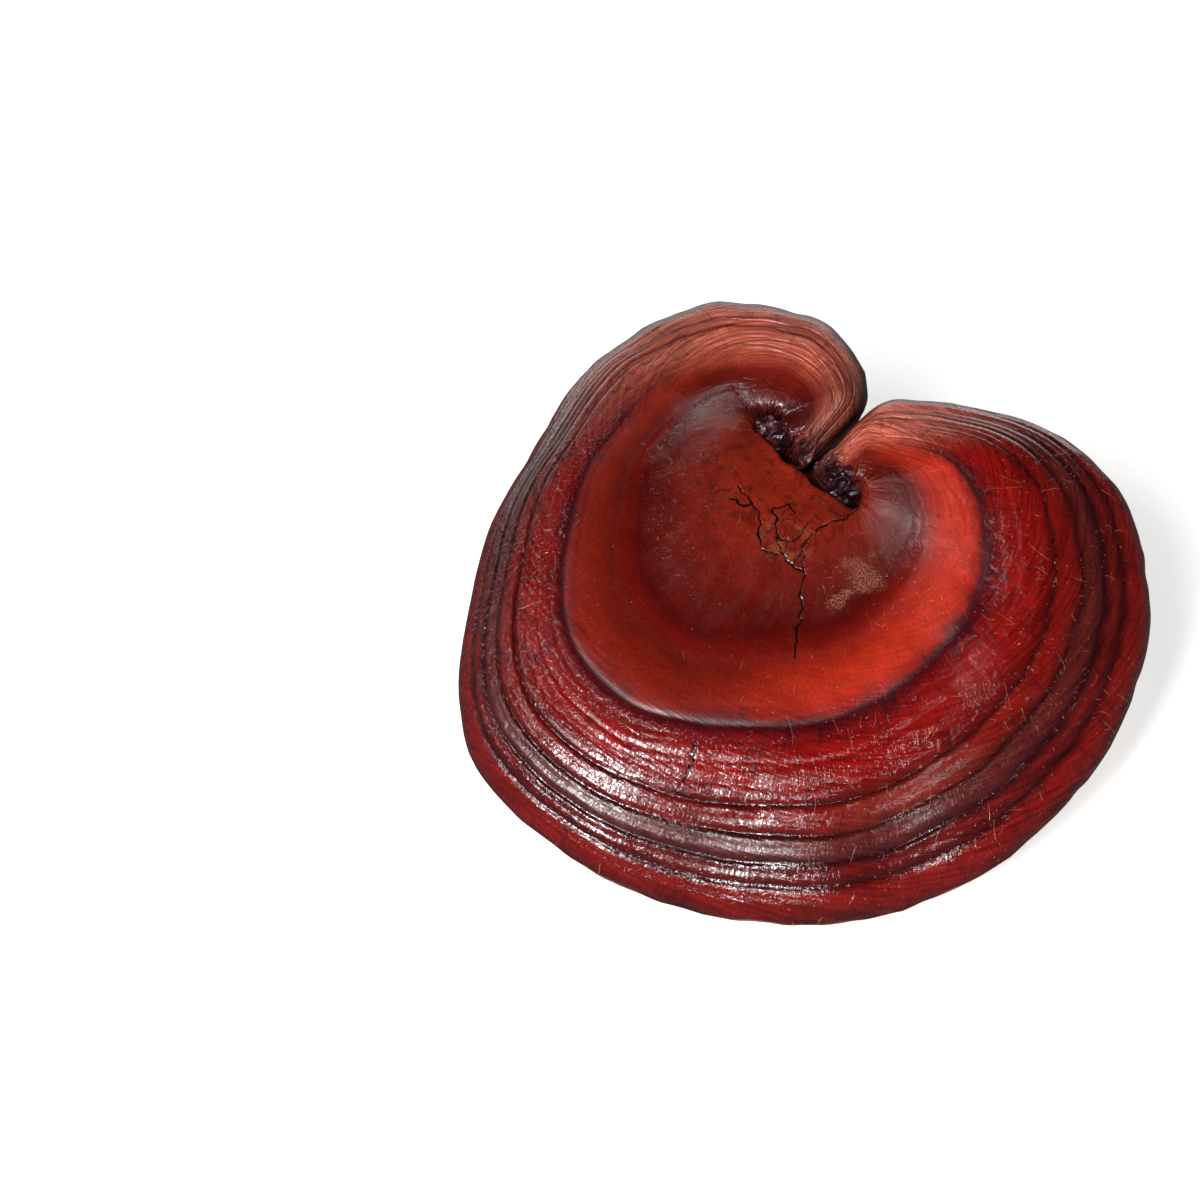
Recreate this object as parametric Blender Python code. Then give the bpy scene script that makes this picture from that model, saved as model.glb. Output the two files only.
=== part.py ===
"""A reishi mushroom: a lacquered, kidney-shaped cap with growth rings, on a short cut stem.

The cap is a strip that turns round two scroll centres, where its lobes curl in on either side
of the tongue over the stem. It is drawn flat in its own frame, with the tongue at the origin
and +Z out of its top, and then leant forward to lie on its front rim and the stem's cut foot.
"""

import math

import bmesh
import bpy
from mathutils import Matrix, Vector

MM = 0.001

# How the mushroom lies
LEAN = math.radians(31)

# Plan of the cap: the two scroll centres, and the first and last direction of the strip
LEFT_SCROLL = Vector((-9.4, 5.0, 0)) * MM
RIGHT_SCROLL = Vector((8.9, -11.8, 0)) * MM
SLOT_RADIUS = 3.0 * MM
FIRST_DIRECTION = -35
LAST_DIRECTION = 487
TONGUE_STARTS = 190
TONGUE_ENDS = 265

# Reach of the rim from the scroll, as direction in degrees and length in millimetres
RIM_REACH = (
    (-35, 10.6), (-15, 12.2), (5, 17.2), (20, 24.6), (35, 28.0), (60, 31.3), (100, 34.4),
    (140, 39.8), (165, 45.5), (185, 53.5), (205, 73.0), (222, 98.0), (236, 103.2), (250, 99.5),
    (270, 93.6), (290, 87.4), (310, 79.4), (335, 71.8), (355, 64.4), (370, 57.0), (385, 47.2),
    (400, 37.6), (415, 31.4), (430, 27.2), (442, 21.2), (455, 16.6), (470, 14.0), (487, 12.6),
)

# Height of the cap's top in millimetres over the rim's middle plane, by growth from tongue to rim:
# in front of the tongue, where the cap is hollow, beside the tongue, and in the lobes
FRONT_TOP = (
    (0.0, 6.4), (0.07, 9.4), (0.2, 9.3), (0.34, 8.6), (0.44, 10.0), (0.53, 12.4), (0.6, 13.2),
    (0.68, 13.2), (0.75, 12.4), (0.82, 10.9), (0.88, 9.0), (0.94, 6.6), (1.0, 4.6),
)
SIDE_TOP = (
    (0.0, 8.0), (0.07, 10.8), (0.2, 12.0), (0.4, 12.8), (0.6, 13.2), (0.68, 13.2), (0.75, 12.4),
    (0.82, 10.9), (0.88, 9.0), (0.94, 6.6), (1.0, 4.6),
)
LOBE_TOP = ((0.0, 5.6), (0.07, 8.2), (0.2, 9.8), (0.5, 10.8), (0.7, 9.8), (0.85, 7.6), (1.0, 4.6))
MAIN_UNDER = ((0.0, -11.0), (0.25, -11.0), (0.45, -9.4), (0.65, -7.6), (0.85, -5.8), (1.0, -4.4))
LOBE_UNDER = ((0.0, -10.0), (0.4, -8.6), (0.7, -6.6), (1.0, -4.4))

# Growth grooves of the top: growth, depth in millimetres and half width as growth
GROOVES = (
    (0.615, 1.1, 0.011), (0.79, 0.8, 0.010), (0.85, 0.9, 0.010), (0.9, 1.0, 0.010),
    (0.943, 1.0, 0.009),
)
# How the growth is spread, by direction: under 1 the inner rings lie close to the scroll
GROWTH_POWER = (
    (-35, 0.8), (60, 0.62), (120, 0.62), (180, 0.95), (215, 1.26), (233, 1.28), (241, 1.11),
    (250, 0.96), (262, 0.84), (275, 0.755), (290, 0.675), (310, 0.625), (340, 0.545),
    (370, 0.515), (410, 0.52), (440, 0.55), (487, 0.8),
)
MARGIN = 5.0 * MM
FULL_LOBE = 26 * MM
LOBE_END_ROUNDING = 26
END_SHARE = 0.06
EDGE_WAVE = 0.5 * MM

# The rim droops at two places, and stands on them
DROOPS = ((249, 8, 2.2 * MM), (275, 8, 2.6 * MM))

# Flat place under the tongue that the stem grows from
PAD_CENTRE = Vector((-1.5, -2.5, 0)) * MM
PAD_DEPTH = 11.0 * MM
PAD_RADIUS = 20.0 * MM
PAD_FADE = 10.0 * MM
JOINT_GAP = 0.3 * MM

# Stem: distance under the cap, and half widths across and along, in millimetres
STEM_WIDTHS = (
    (0.0, 16.0, 12.5), (2.5, 14.2, 11.6), (7.0, 11.6, 10.2), (14.0, 9.8, 9.2),
    (26.0, 9.2, 8.8), (38.0, 9.6, 9.2), (50.0, 10.4, 9.8), (75.0, 11.4, 10.8),
)
STEM_SIDES = 28
STEM_BEND = 3.0 * MM

# Mesh
RIM_STEP = 6.2 * MM
LEAST_TURN = 3.0
MOST_TURN = 8.0
COARSE_GROWTH = (0.0, 0.04, 0.1, 0.18, 0.27, 0.36, 0.43, 0.49, 0.54, 0.58, 0.67, 0.73)
UNDER_GROWTH = (0.98, 0.95, 0.9, 0.82, 0.7, 0.56, 0.42, 0.3, 0.2, 0.12, 0.05, 0.0)


def smoothstep(low, high, value):
    """A soft step from 0 at low to 1 at high."""
    share = min(1.0, max(0.0, (value - low) / (high - low)))
    return share * share * (3 - 2 * share)


def through(points, place):
    """The value at place of the smooth curve through (place, value) points."""
    if place <= points[0][0]:
        return points[0][1]
    if place >= points[-1][0]:
        return points[-1][1]
    last = len(points) - 1
    i = max(k for k in range(last) if points[k][0] <= place)
    (x0, y0), (x1, y1) = points[i], points[i + 1]
    before = points[max(0, i - 1)]
    after = points[min(last, i + 2)]
    slope0 = (y1 - before[1]) / (x1 - before[0])
    slope1 = (after[1] - y0) / (after[0] - x0)
    width = x1 - x0
    u = (place - x0) / width
    return (
        (2 * u**3 - 3 * u**2 + 1) * y0
        + (u**3 - 2 * u**2 + u) * width * slope0
        + (3 * u**2 - 2 * u**3) * y1
        + (u**3 - u**2) * width * slope1
    )


def centre_of(direction):
    """The point that a ray of this direction leaves from: a scroll, or a place along the tongue."""
    return LEFT_SCROLL.lerp(RIGHT_SCROLL, smoothstep(TONGUE_STARTS, TONGUE_ENDS, direction))


def reach_of(direction):
    """How far the rim is from its centre, with the slight waves of a grown edge."""
    turn = math.radians(direction)
    wave = 0.6 * math.sin(7 * turn + 0.6) + 0.4 * math.sin(16 * turn + 2.1)
    full = smoothstep(30, 60, direction) * (1 - smoothstep(400, 430, direction))
    return through(RIM_REACH, direction) * MM + EDGE_WAVE * wave * full


def mainness(direction):
    """1 where the cap has its ringed main face, falling to 0 in the two lobes."""
    return smoothstep(125, 195, direction) * (1 - smoothstep(372, 425, direction))


def hollowness(direction):
    """1 in front of the tongue, where the cap is hollow, falling to 0 beside it."""
    return smoothstep(135, 215, direction) * (1 - smoothstep(260, 340, direction))


def ring_growth(direction, growth):
    """The ring that a place lies on: one ring has one value all the way round."""
    return growth ** through(GROWTH_POWER, direction)


def margin_share(direction, growth):
    """1 inside the cap, falling to 0 at the rim as a quarter of an ellipse does."""
    width = min(0.5, MARGIN / (reach_of(direction) - SLOT_RADIUS))
    across = max(0.0, (growth - (1 - width)) / width)
    return math.sqrt(max(0.0, 1 - across * across))


def droop_of(direction, growth):
    """How far the rim hangs at the two places that it stands on."""
    hang = sum(depth * math.exp(-(((direction - at) / wide) ** 2)) for at, wide, depth in DROOPS)
    return hang * smoothstep(0.55, 1.0, growth)


def top_of(direction, growth):
    """Height of the cap's upper face."""
    ring = ring_growth(direction, growth)
    main = mainness(direction)
    hollow = hollowness(direction)
    size = min(1.0, reach_of(direction) / FULL_LOBE)
    face = hollow * through(FRONT_TOP, ring) + (1 - hollow) * through(SIDE_TOP, ring)
    height = main * face + (1 - main) * size * through(LOBE_TOP, ring)
    height -= sum(deep * math.exp(-(((ring - at) / wide) ** 2)) for at, deep, wide in GROOVES)
    return height * MM * margin_share(direction, growth) - droop_of(direction, growth)


def under_of(direction, growth):
    """Height of the cap's pore face."""
    ring = ring_growth(direction, growth)
    main = mainness(direction)
    height = (main * through(MAIN_UNDER, ring) + (1 - main) * through(LOBE_UNDER, ring)) * MM
    place = plan_point(direction, growth)
    pad = 1 - smoothstep(PAD_RADIUS, PAD_RADIUS + PAD_FADE, (place - PAD_CENTRE).length)
    height = height + (-PAD_DEPTH - height) * pad
    return height * margin_share(direction, growth) - droop_of(direction, growth)


def plan_point(direction, growth):
    """The place in plan of one direction and growth."""
    turn = math.radians(direction)
    length = SLOT_RADIUS + growth * (reach_of(direction) - SLOT_RADIUS)
    return centre_of(direction) + Vector((math.cos(turn), math.sin(turn), 0)) * length


def end_rounding(direction):
    """The share of its thickness that the strip has near its ends, which are rounded."""
    inwards = min(direction - FIRST_DIRECTION, LAST_DIRECTION - direction)
    share = min(1.0, END_SHARE + inwards / LOBE_END_ROUNDING)
    return math.sqrt(1 - (1 - share) ** 2)


def section(direction, tops):
    """The closed loop of one cut across the strip: the top out to the rim, and the pore face back."""
    rounding = end_rounding(direction)
    loop = []
    for growth, face in [(g, top_of) for g in tops] + [(g, under_of) for g in UNDER_GROWTH]:
        middle = (top_of(direction, growth) + under_of(direction, growth)) / 2
        height = middle + (face(direction, growth) - middle) * rounding
        loop.append(plan_point(direction, growth) + Vector((0, 0, height)))
    return loop


def section_directions():
    """Directions of the cuts, closer together where the rim is far out."""
    directions = [FIRST_DIRECTION]
    while directions[-1] < LAST_DIRECTION:
        turn = math.degrees(RIM_STEP / reach_of(directions[-1]))
        directions.append(directions[-1] + min(MOST_TURN, max(LEAST_TURN, turn)))
    stretch = (LAST_DIRECTION - FIRST_DIRECTION) / (directions[-1] - FIRST_DIRECTION)
    return [FIRST_DIRECTION + (d - FIRST_DIRECTION) * stretch for d in directions]


def top_growths(direction):
    """Growth values across the top, with three at each groove."""
    rings = list(COARSE_GROWTH)
    for at, _, wide in GROOVES:
        rings += [at - 1.6 * wide, at, at + 1.6 * wide]
    rings += [0.98, 0.99, 1.0]
    return sorted(r ** (1 / through(GROWTH_POWER, direction)) for r in rings)


def finish(name, colour, roughness, metallic=0.0, coat=0.0):
    """A plain Principled material."""
    material = bpy.data.materials.new(name)
    material.use_nodes = True
    shader = material.node_tree.nodes["Principled BSDF"]
    shader.inputs["Base Color"].default_value = (*colour, 1)
    shader.inputs["Roughness"].default_value = roughness
    shader.inputs["Metallic"].default_value = metallic
    shader.inputs["Coat Weight"].default_value = coat
    material.diffuse_color = (*colour, 1)
    return material


def add_object(name, shape, material, collection, parent):
    """One named object of a finished bmesh, shaded smooth except at its sharp edges."""
    bmesh.ops.recalc_face_normals(shape, faces=shape.faces)
    mesh = bpy.data.meshes.new(name)
    shape.to_mesh(mesh)
    shape.free()
    mesh.materials.append(material)
    mesh.shade_smooth()
    mesh.set_sharp_from_angle(angle=math.radians(50))
    piece = bpy.data.objects.new(name, mesh)
    collection.objects.link(piece)
    piece.parent = parent
    return piece


def skin_loops(shape, loops):
    """Quads between each two neighbouring closed loops of vertices."""
    for one, two in zip(loops, loops[1:]):
        for i in range(len(one)):
            j = (i + 1) % len(one)
            shape.faces.new((one[i], one[j], two[j], two[i]))


def make_cap(collection, parent):
    """The cap: cuts across the strip lofted into one closed solid."""
    shape = bmesh.new()
    loops = []
    for direction in section_directions():
        loops.append([shape.verts.new(p) for p in section(direction, top_growths(direction))])
    skin_loops(shape, loops)
    shape.faces.new(loops[0])
    shape.faces.new(loops[-1])
    lacquer = finish("lacquered_cap", (0.33, 0.045, 0.018), 0.28, coat=0.6)
    cap = add_object("cap", shape, lacquer, collection, parent)
    cap.rotation_euler.x = LEAN
    return cap


def stem_ring(depth, across, along):
    """The corners of the stem's cut at one depth under the cap, in the cap's frame."""
    bend = STEM_BEND * math.sin(math.pi * min(1.0, depth / (60 * MM)))
    middle = PAD_CENTRE + Vector((bend, 0.4 * bend, -PAD_DEPTH - JOINT_GAP - depth))
    slot = RIGHT_SCROLL - LEFT_SCROLL
    turned = Matrix.Rotation(math.atan2(slot.y, slot.x), 3, "Z")
    ring = []
    for k in range(STEM_SIDES):
        turn = math.tau * k / STEM_SIDES
        lump = 1 + 0.035 * math.sin(3 * turn + 0.7 + depth / (11 * MM))
        corner = Vector((across * math.cos(turn), along * math.sin(turn), 0)) * lump
        ring.append(middle + turned @ corner)
    return ring


def make_stem(collection, parent, floor):
    """The stem: widening rings skinned into a stub, and cut level with the floor."""
    shape = bmesh.new()
    rings = []
    for depth, across, along in STEM_WIDTHS:
        rings.append([shape.verts.new(p) for p in stem_ring(depth * MM, across * MM, along * MM)])
    skin_loops(shape, rings)
    shape.faces.new(rings[0])
    shape.faces.new(rings[-1])
    bmesh.ops.transform(shape, matrix=Matrix.Rotation(LEAN, 4, "X"), verts=shape.verts)
    everything = shape.verts[:] + shape.edges[:] + shape.faces[:]
    cut = bmesh.ops.bisect_plane(
        shape, geom=everything, plane_co=(0, 0, floor), plane_no=(0, 0, 1), clear_inner=True
    )
    open_edges = [e for e in cut["geom_cut"] if isinstance(e, bmesh.types.BMEdge)]
    bmesh.ops.edgenet_fill(shape, edges=open_edges)
    bark = finish("lacquered_stem", (0.12, 0.025, 0.014), 0.35, coat=0.4)
    return add_object("stem", shape, bark, collection, parent)


def world_corners(pieces):
    """The lowest and highest corner of the pieces' box."""
    bpy.context.view_layer.update()
    points = [p.matrix_world @ v.co for p in pieces for v in p.data.vertices]
    low = Vector([min(p[axis] for p in points) for axis in range(3)])
    high = Vector([max(p[axis] for p in points) for axis in range(3)])
    return low, high


def main():
    """Builds the mushroom and stands it on the origin."""
    for old in list(bpy.data.objects):
        bpy.data.objects.remove(old, do_unlink=True)
    collection = bpy.data.collections.new("reishi_mushroom")
    bpy.context.scene.collection.children.link(collection)
    stand = bpy.data.objects.new("mushroom", None)
    collection.objects.link(stand)

    cap = make_cap(collection, stand)
    low, _ = world_corners([cap])
    stem = make_stem(collection, stand, low.z)
    low, high = world_corners([cap, stem])
    stand.location = (-(low.x + high.x) / 2, -(low.y + high.y) / 2, -low.z)
    bpy.context.view_layer.update()


main()
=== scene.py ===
"""The looks of a dried reishi mushroom: a lacquered, ringed cap curled round its sinus, on a cut stem.

The cap is one strip swept round two scroll centres. A place on it has a direction, in degrees
round its scroll, and a growth, from 0 at the scroll to 1 at the rim. A ring is one line of
growth that the mushroom stopped at, with one value all the way round. The cap's own frame has
it lying flat, with +Z out of its top. Lengths there are in millimetres, and in metres elsewhere.
"""

import logging
import math
from dataclasses import dataclass
from enum import Enum
from functools import reduce

import bpy
import numpy as np
from mathutils import Matrix, Vector, noise


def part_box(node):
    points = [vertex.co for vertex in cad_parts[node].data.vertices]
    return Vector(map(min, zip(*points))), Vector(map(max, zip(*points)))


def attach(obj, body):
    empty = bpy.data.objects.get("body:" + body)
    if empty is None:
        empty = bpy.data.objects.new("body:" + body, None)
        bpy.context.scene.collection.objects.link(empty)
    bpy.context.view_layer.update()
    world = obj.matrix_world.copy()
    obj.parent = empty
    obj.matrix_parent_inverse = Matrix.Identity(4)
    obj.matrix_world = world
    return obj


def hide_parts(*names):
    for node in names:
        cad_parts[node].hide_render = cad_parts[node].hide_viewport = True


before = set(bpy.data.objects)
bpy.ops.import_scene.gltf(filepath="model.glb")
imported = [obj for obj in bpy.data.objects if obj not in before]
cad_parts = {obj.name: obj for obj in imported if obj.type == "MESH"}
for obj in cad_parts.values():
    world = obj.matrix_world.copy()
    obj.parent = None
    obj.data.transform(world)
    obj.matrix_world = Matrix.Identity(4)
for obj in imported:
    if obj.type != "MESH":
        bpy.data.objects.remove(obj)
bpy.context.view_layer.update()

MM = 0.001
CENTIMETRE = 10.0
log = logging.getLogger("reishi")

Span = tuple[float, float]
Socket = bpy.types.NodeSocket
Feed = float | tuple | Socket
Colour = tuple[float, float, float, float]
Stops = tuple[tuple[float, Colour], ...]


# Curves and noise


def smoothstep(low: float, high: float, value: np.ndarray | float) -> np.ndarray:
    """A soft step, from 0 at the low end to 1 at the high end."""
    share = np.clip((np.asarray(value, float) - low) / (high - low), 0.0, 1.0)
    return share * share * (3 - 2 * share)


def between(begins: Span, ends: Span, value: np.ndarray) -> np.ndarray:
    """1 between two soft steps, rising over the first span and falling over the second."""
    return smoothstep(*begins, value) * (1 - smoothstep(*ends, value))


def folded(value: np.ndarray | float, sharp: float) -> np.ndarray | float:
    """Rounded folds with a sharp valley wherever a noise passes 0."""
    return 1 - sharp * abs(value)


@dataclass(frozen=True)
class Curve:
    """A smooth curve through given points, level beyond its ends."""

    points: tuple[Span, ...]

    def at(self, place: np.ndarray) -> np.ndarray:
        """Reads the curve.

        Args:
            place: positions along it.

        Returns:
            Its value at each position.
        """
        xs, ys = np.array(self.points, float).T
        last = len(xs) - 1
        place = np.clip(np.asarray(place, float), xs[0], xs[-1])
        here = np.clip(np.searchsorted(xs, place, side="right") - 1, 0, last - 1)
        before = np.maximum(here - 1, 0)
        after = np.minimum(here + 2, last)
        width = xs[here + 1] - xs[here]
        slope_in = (ys[here + 1] - ys[before]) / (xs[here + 1] - xs[before])
        slope_out = (ys[after] - ys[here]) / (xs[after] - xs[here])
        u = (place - xs[here]) / width
        return (
            (2 * u**3 - 3 * u**2 + 1) * ys[here]
            + (u**3 - 2 * u**2 + u) * width * slope_in
            + (3 * u**2 - 2 * u**3) * ys[here + 1]
            + (u**3 - u**2) * width * slope_out
        )


@dataclass(frozen=True)
class Grain:
    """Seeded smooth noise over a plane, between -1 and 1: the sides of its cells, and where it starts."""

    seed: int
    across: float = 1.0
    along: float = 1.0
    start: float = 0.0
    knots: int = 101

    def at(self, x: np.ndarray, y: np.ndarray | float) -> np.ndarray:
        """Reads the noise.

        Args:
            x: places across the plane.
            y: places along it.

        Returns:
            The noise at each place.
        """
        values = np.random.default_rng(self.seed).uniform(-1, 1, (self.knots, self.knots))
        x, y = np.broadcast_arrays(x / self.across + self.start, y / self.along + self.start)
        i = np.floor(x).astype(int)
        j = np.floor(y).astype(int)
        u = smoothstep(0, 1, x - i)
        v = smoothstep(0, 1, y - j)
        i1, j1 = (i + 1) % self.knots, (j + 1) % self.knots
        i, j = i % self.knots, j % self.knots
        near = values[i, j] * (1 - u) + values[i1, j] * u
        far = values[i, j1] * (1 - u) + values[i1, j1] * u
        return near * (1 - v) + far * v


# The form of the cap


@dataclass(frozen=True)
class Groove:
    """One growth groove of the upper face: its ring, depth in millimetres and half width as ring."""

    ring: float
    depth: float
    wide: float


@dataclass(frozen=True)
class CapForm:
    """The form of the cap in its own frame, in millimetres: the same main shape as the CAD solid.

    A rim wave has its count round the scroll, its start and its height, and a droop of the rim has
    its direction, its half width in degrees and its depth.
    """

    lean: float = math.radians(31)
    left_scroll: Span = (-9.4, 5.0)
    right_scroll: Span = (8.9, -11.8)
    slot_radius: float = 3.0
    first_direction: float = -35.0
    last_direction: float = 487.0
    tongue: Span = (190.0, 265.0)
    main_begins: Span = (125.0, 195.0)
    main_ends: Span = (372.0, 425.0)
    hollow_begins: Span = (135.0, 215.0)
    hollow_ends: Span = (260.0, 340.0)
    rim_reach: Curve = Curve((
        (-35, 10.6), (-15, 12.2), (5, 17.2), (20, 24.6), (35, 28.0), (60, 31.3), (100, 34.4),
        (140, 39.8), (165, 45.5), (185, 53.5), (205, 73.0), (222, 98.0), (236, 103.2), (250, 99.5),
        (270, 93.6), (290, 87.4), (310, 79.4), (335, 71.8), (355, 64.4), (370, 57.0), (385, 47.2),
        (400, 37.6), (415, 31.4), (430, 27.2), (442, 21.2), (455, 16.6), (470, 14.0), (487, 12.6),
    ))
    rim_waves: tuple[tuple[float, float, float], ...] = ((7, 0.6, 0.3), (16, 2.1, 0.2))
    waves_begin: Span = (30.0, 60.0)
    waves_end: Span = (400.0, 430.0)
    front_top: Curve = Curve((
        (0.0, 6.4), (0.07, 9.4), (0.2, 9.3), (0.34, 8.6), (0.44, 10.0), (0.53, 12.4), (0.6, 13.2),
        (0.68, 13.2), (0.75, 12.4), (0.82, 10.9), (0.88, 9.0), (0.94, 6.6), (1.0, 4.6),
    ))
    side_top: Curve = Curve((
        (0.0, 8.0), (0.07, 10.8), (0.2, 12.0), (0.4, 12.8), (0.6, 13.2), (0.68, 13.2), (0.75, 12.4),
        (0.82, 10.9), (0.88, 9.0), (0.94, 6.6), (1.0, 4.6),
    ))
    lobe_top: Curve = Curve((
        (0.0, 5.6), (0.07, 8.2), (0.2, 9.8), (0.5, 10.8), (0.7, 9.8), (0.85, 7.6), (1.0, 4.6),
    ))
    main_under: Curve = Curve((
        (0.0, -11.0), (0.25, -11.0), (0.45, -9.4), (0.65, -7.6), (0.85, -5.8), (1.0, -4.4),
    ))
    lobe_under: Curve = Curve(((0.0, -10.0), (0.4, -8.6), (0.7, -6.6), (1.0, -4.4)))
    growth_power: Curve = Curve((
        (-35, 0.8), (60, 0.62), (120, 0.62), (180, 0.95), (215, 1.26), (233, 1.28), (241, 1.11),
        (250, 0.96), (262, 0.84), (275, 0.755), (290, 0.675), (310, 0.625), (340, 0.545),
        (370, 0.515), (410, 0.52), (440, 0.55), (487, 0.8),
    ))
    grooves: tuple[Groove, ...] = (
        Groove(0.615, 1.1, 0.011), Groove(0.79, 0.8, 0.010), Groove(0.85, 0.9, 0.010),
        Groove(0.9, 1.0, 0.010), Groove(0.943, 1.0, 0.009),
    )
    margin: float = 5.0
    widest_margin: float = 0.5
    full_lobe: float = 26.0
    end_rounding: float = 26.0
    droops: tuple[tuple[float, float, float], ...] = ((249, 8, 2.2), (275, 8, 2.6))
    droop_starts: float = 0.55
    pad_centre: Span = (-1.5, -2.5)
    pad_depth: float = 11.0
    pad_radius: float = 20.0
    pad_fade: float = 10.0

    def centre(self, direction: np.ndarray) -> tuple[np.ndarray, ...]:
        """The x and y that a direction is measured from: a scroll, or a place along the tongue."""
        share = smoothstep(*self.tongue, direction)
        return tuple(a + (b - a) * share for a, b in zip(self.left_scroll, self.right_scroll))

    def reach(self, direction: np.ndarray) -> np.ndarray:
        """How far the rim is from its centre, with the slight waves of a grown edge.

        Args:
            direction: degrees round the scroll.

        Returns:
            The length in each direction.
        """
        turn = np.radians(direction)
        wave = sum(high * np.sin(count * turn + start) for count, start, high in self.rim_waves)
        return self.rim_reach.at(direction) + wave * between(self.waves_begin, self.waves_end, direction)

    def inwards(self, direction: np.ndarray) -> np.ndarray:
        """How many degrees a direction is from the nearer end of the strip."""
        return np.minimum(direction - self.first_direction, self.last_direction - direction)

    def mainness(self, direction: np.ndarray) -> np.ndarray:
        """1 where the cap has its ringed main face, falling to 0 in the two lobes."""
        return between(self.main_begins, self.main_ends, direction)

    def hollowness(self, direction: np.ndarray) -> np.ndarray:
        """1 in front of the tongue, where the cap is hollow, falling to 0 beside it."""
        return between(self.hollow_begins, self.hollow_ends, direction)

    def ring(self, direction: np.ndarray, growth: np.ndarray) -> np.ndarray:
        """The ring that a place lies on."""
        return np.asarray(growth) ** self.growth_power.at(direction)

    def growth(self, direction: np.ndarray, ring: np.ndarray) -> np.ndarray:
        """The growth at which a direction crosses a ring."""
        return np.asarray(ring) ** (1 / self.growth_power.at(direction))

    def margin_share(self, direction: np.ndarray, growth: np.ndarray) -> np.ndarray:
        """1 inside the cap, falling to 0 at the rim as a quarter of an ellipse does.

        Args:
            direction: degrees round the scroll.
            growth: 0 at the scroll, 1 at the rim.

        Returns:
            The share of the thickness at each place.
        """
        width = np.minimum(self.widest_margin, self.margin / (self.reach(direction) - self.slot_radius))
        across = np.clip((growth - (1 - width)) / width, 0, 1)
        return np.sqrt(1 - across * across)

    def droop(self, direction: np.ndarray, growth: np.ndarray) -> np.ndarray:
        """How far the rim hangs at the two places that it stands on."""
        hang = sum(deep * np.exp(-(((direction - at) / wide) ** 2)) for at, wide, deep in self.droops)
        return hang * smoothstep(self.droop_starts, 1.0, growth)

    def groove_depth(self, ring: np.ndarray) -> np.ndarray:
        """How deep the growth grooves lie at each ring."""
        return sum(g.depth * np.exp(-(((ring - g.ring) / g.wide) ** 2)) for g in self.grooves)

    def top(self, direction: np.ndarray, growth: np.ndarray) -> np.ndarray:
        """The upper face.

        Args:
            direction: degrees round the scroll.
            growth: 0 at the scroll, 1 at the rim.

        Returns:
            Its height at each place.
        """
        ring = self.ring(direction, growth)
        main = self.mainness(direction)
        size = np.minimum(1.0, self.reach(direction) / self.full_lobe)
        hollow = self.hollowness(direction)
        face = hollow * self.front_top.at(ring) + (1 - hollow) * self.side_top.at(ring)
        height = main * face + (1 - main) * size * self.lobe_top.at(ring)
        height = (height - self.groove_depth(ring)) * self.margin_share(direction, growth)
        return height - self.droop(direction, growth)

    def under(self, direction: np.ndarray, growth: np.ndarray) -> np.ndarray:
        """The pore face, flat where the stem joins it.

        Args:
            direction: degrees round the scroll.
            growth: 0 at the scroll, 1 at the rim.

        Returns:
            Its height at each place.
        """
        ring = self.ring(direction, growth)
        main = self.mainness(direction)
        height = main * self.main_under.at(ring) + (1 - main) * self.lobe_under.at(ring)
        x, y = self.plan(direction, growth, self.reach(direction))
        away = np.hypot(x - self.pad_centre[0], y - self.pad_centre[1])
        pad = 1 - smoothstep(self.pad_radius, self.pad_radius + self.pad_fade, away)
        height = height + (-self.pad_depth - height) * pad
        return height * self.margin_share(direction, growth) - self.droop(direction, growth)

    def plan(
        self, direction: np.ndarray, growth: np.ndarray, reach: np.ndarray
    ) -> tuple[np.ndarray, np.ndarray]:
        """The place in plan of a direction and growth.

        Args:
            direction: degrees round the scroll.
            growth: 0 at the scroll, 1 at the rim.
            reach: how far the rim is in that direction.

        Returns:
            Its x and y.
        """
        turn = np.radians(direction)
        x, y = self.centre(direction)
        length = self.slot_radius + growth * (reach - self.slot_radius)
        return x + np.cos(turn) * length, y + np.sin(turn) * length

    def thickness_share(self, direction: np.ndarray, thinnest: float) -> np.ndarray:
        """The share of its thickness that the strip keeps towards its two rounded ends."""
        share = np.clip(thinnest + self.inwards(direction) / self.end_rounding, 0, 1)
        return np.sqrt(1 - (1 - share) ** 2)


@dataclass(frozen=True)
class Crease:
    """One crease between two rings: its ring, its depth in millimetres in front and elsewhere."""

    ring: float
    front: float
    elsewhere: float
    wide: float = 0.007


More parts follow.
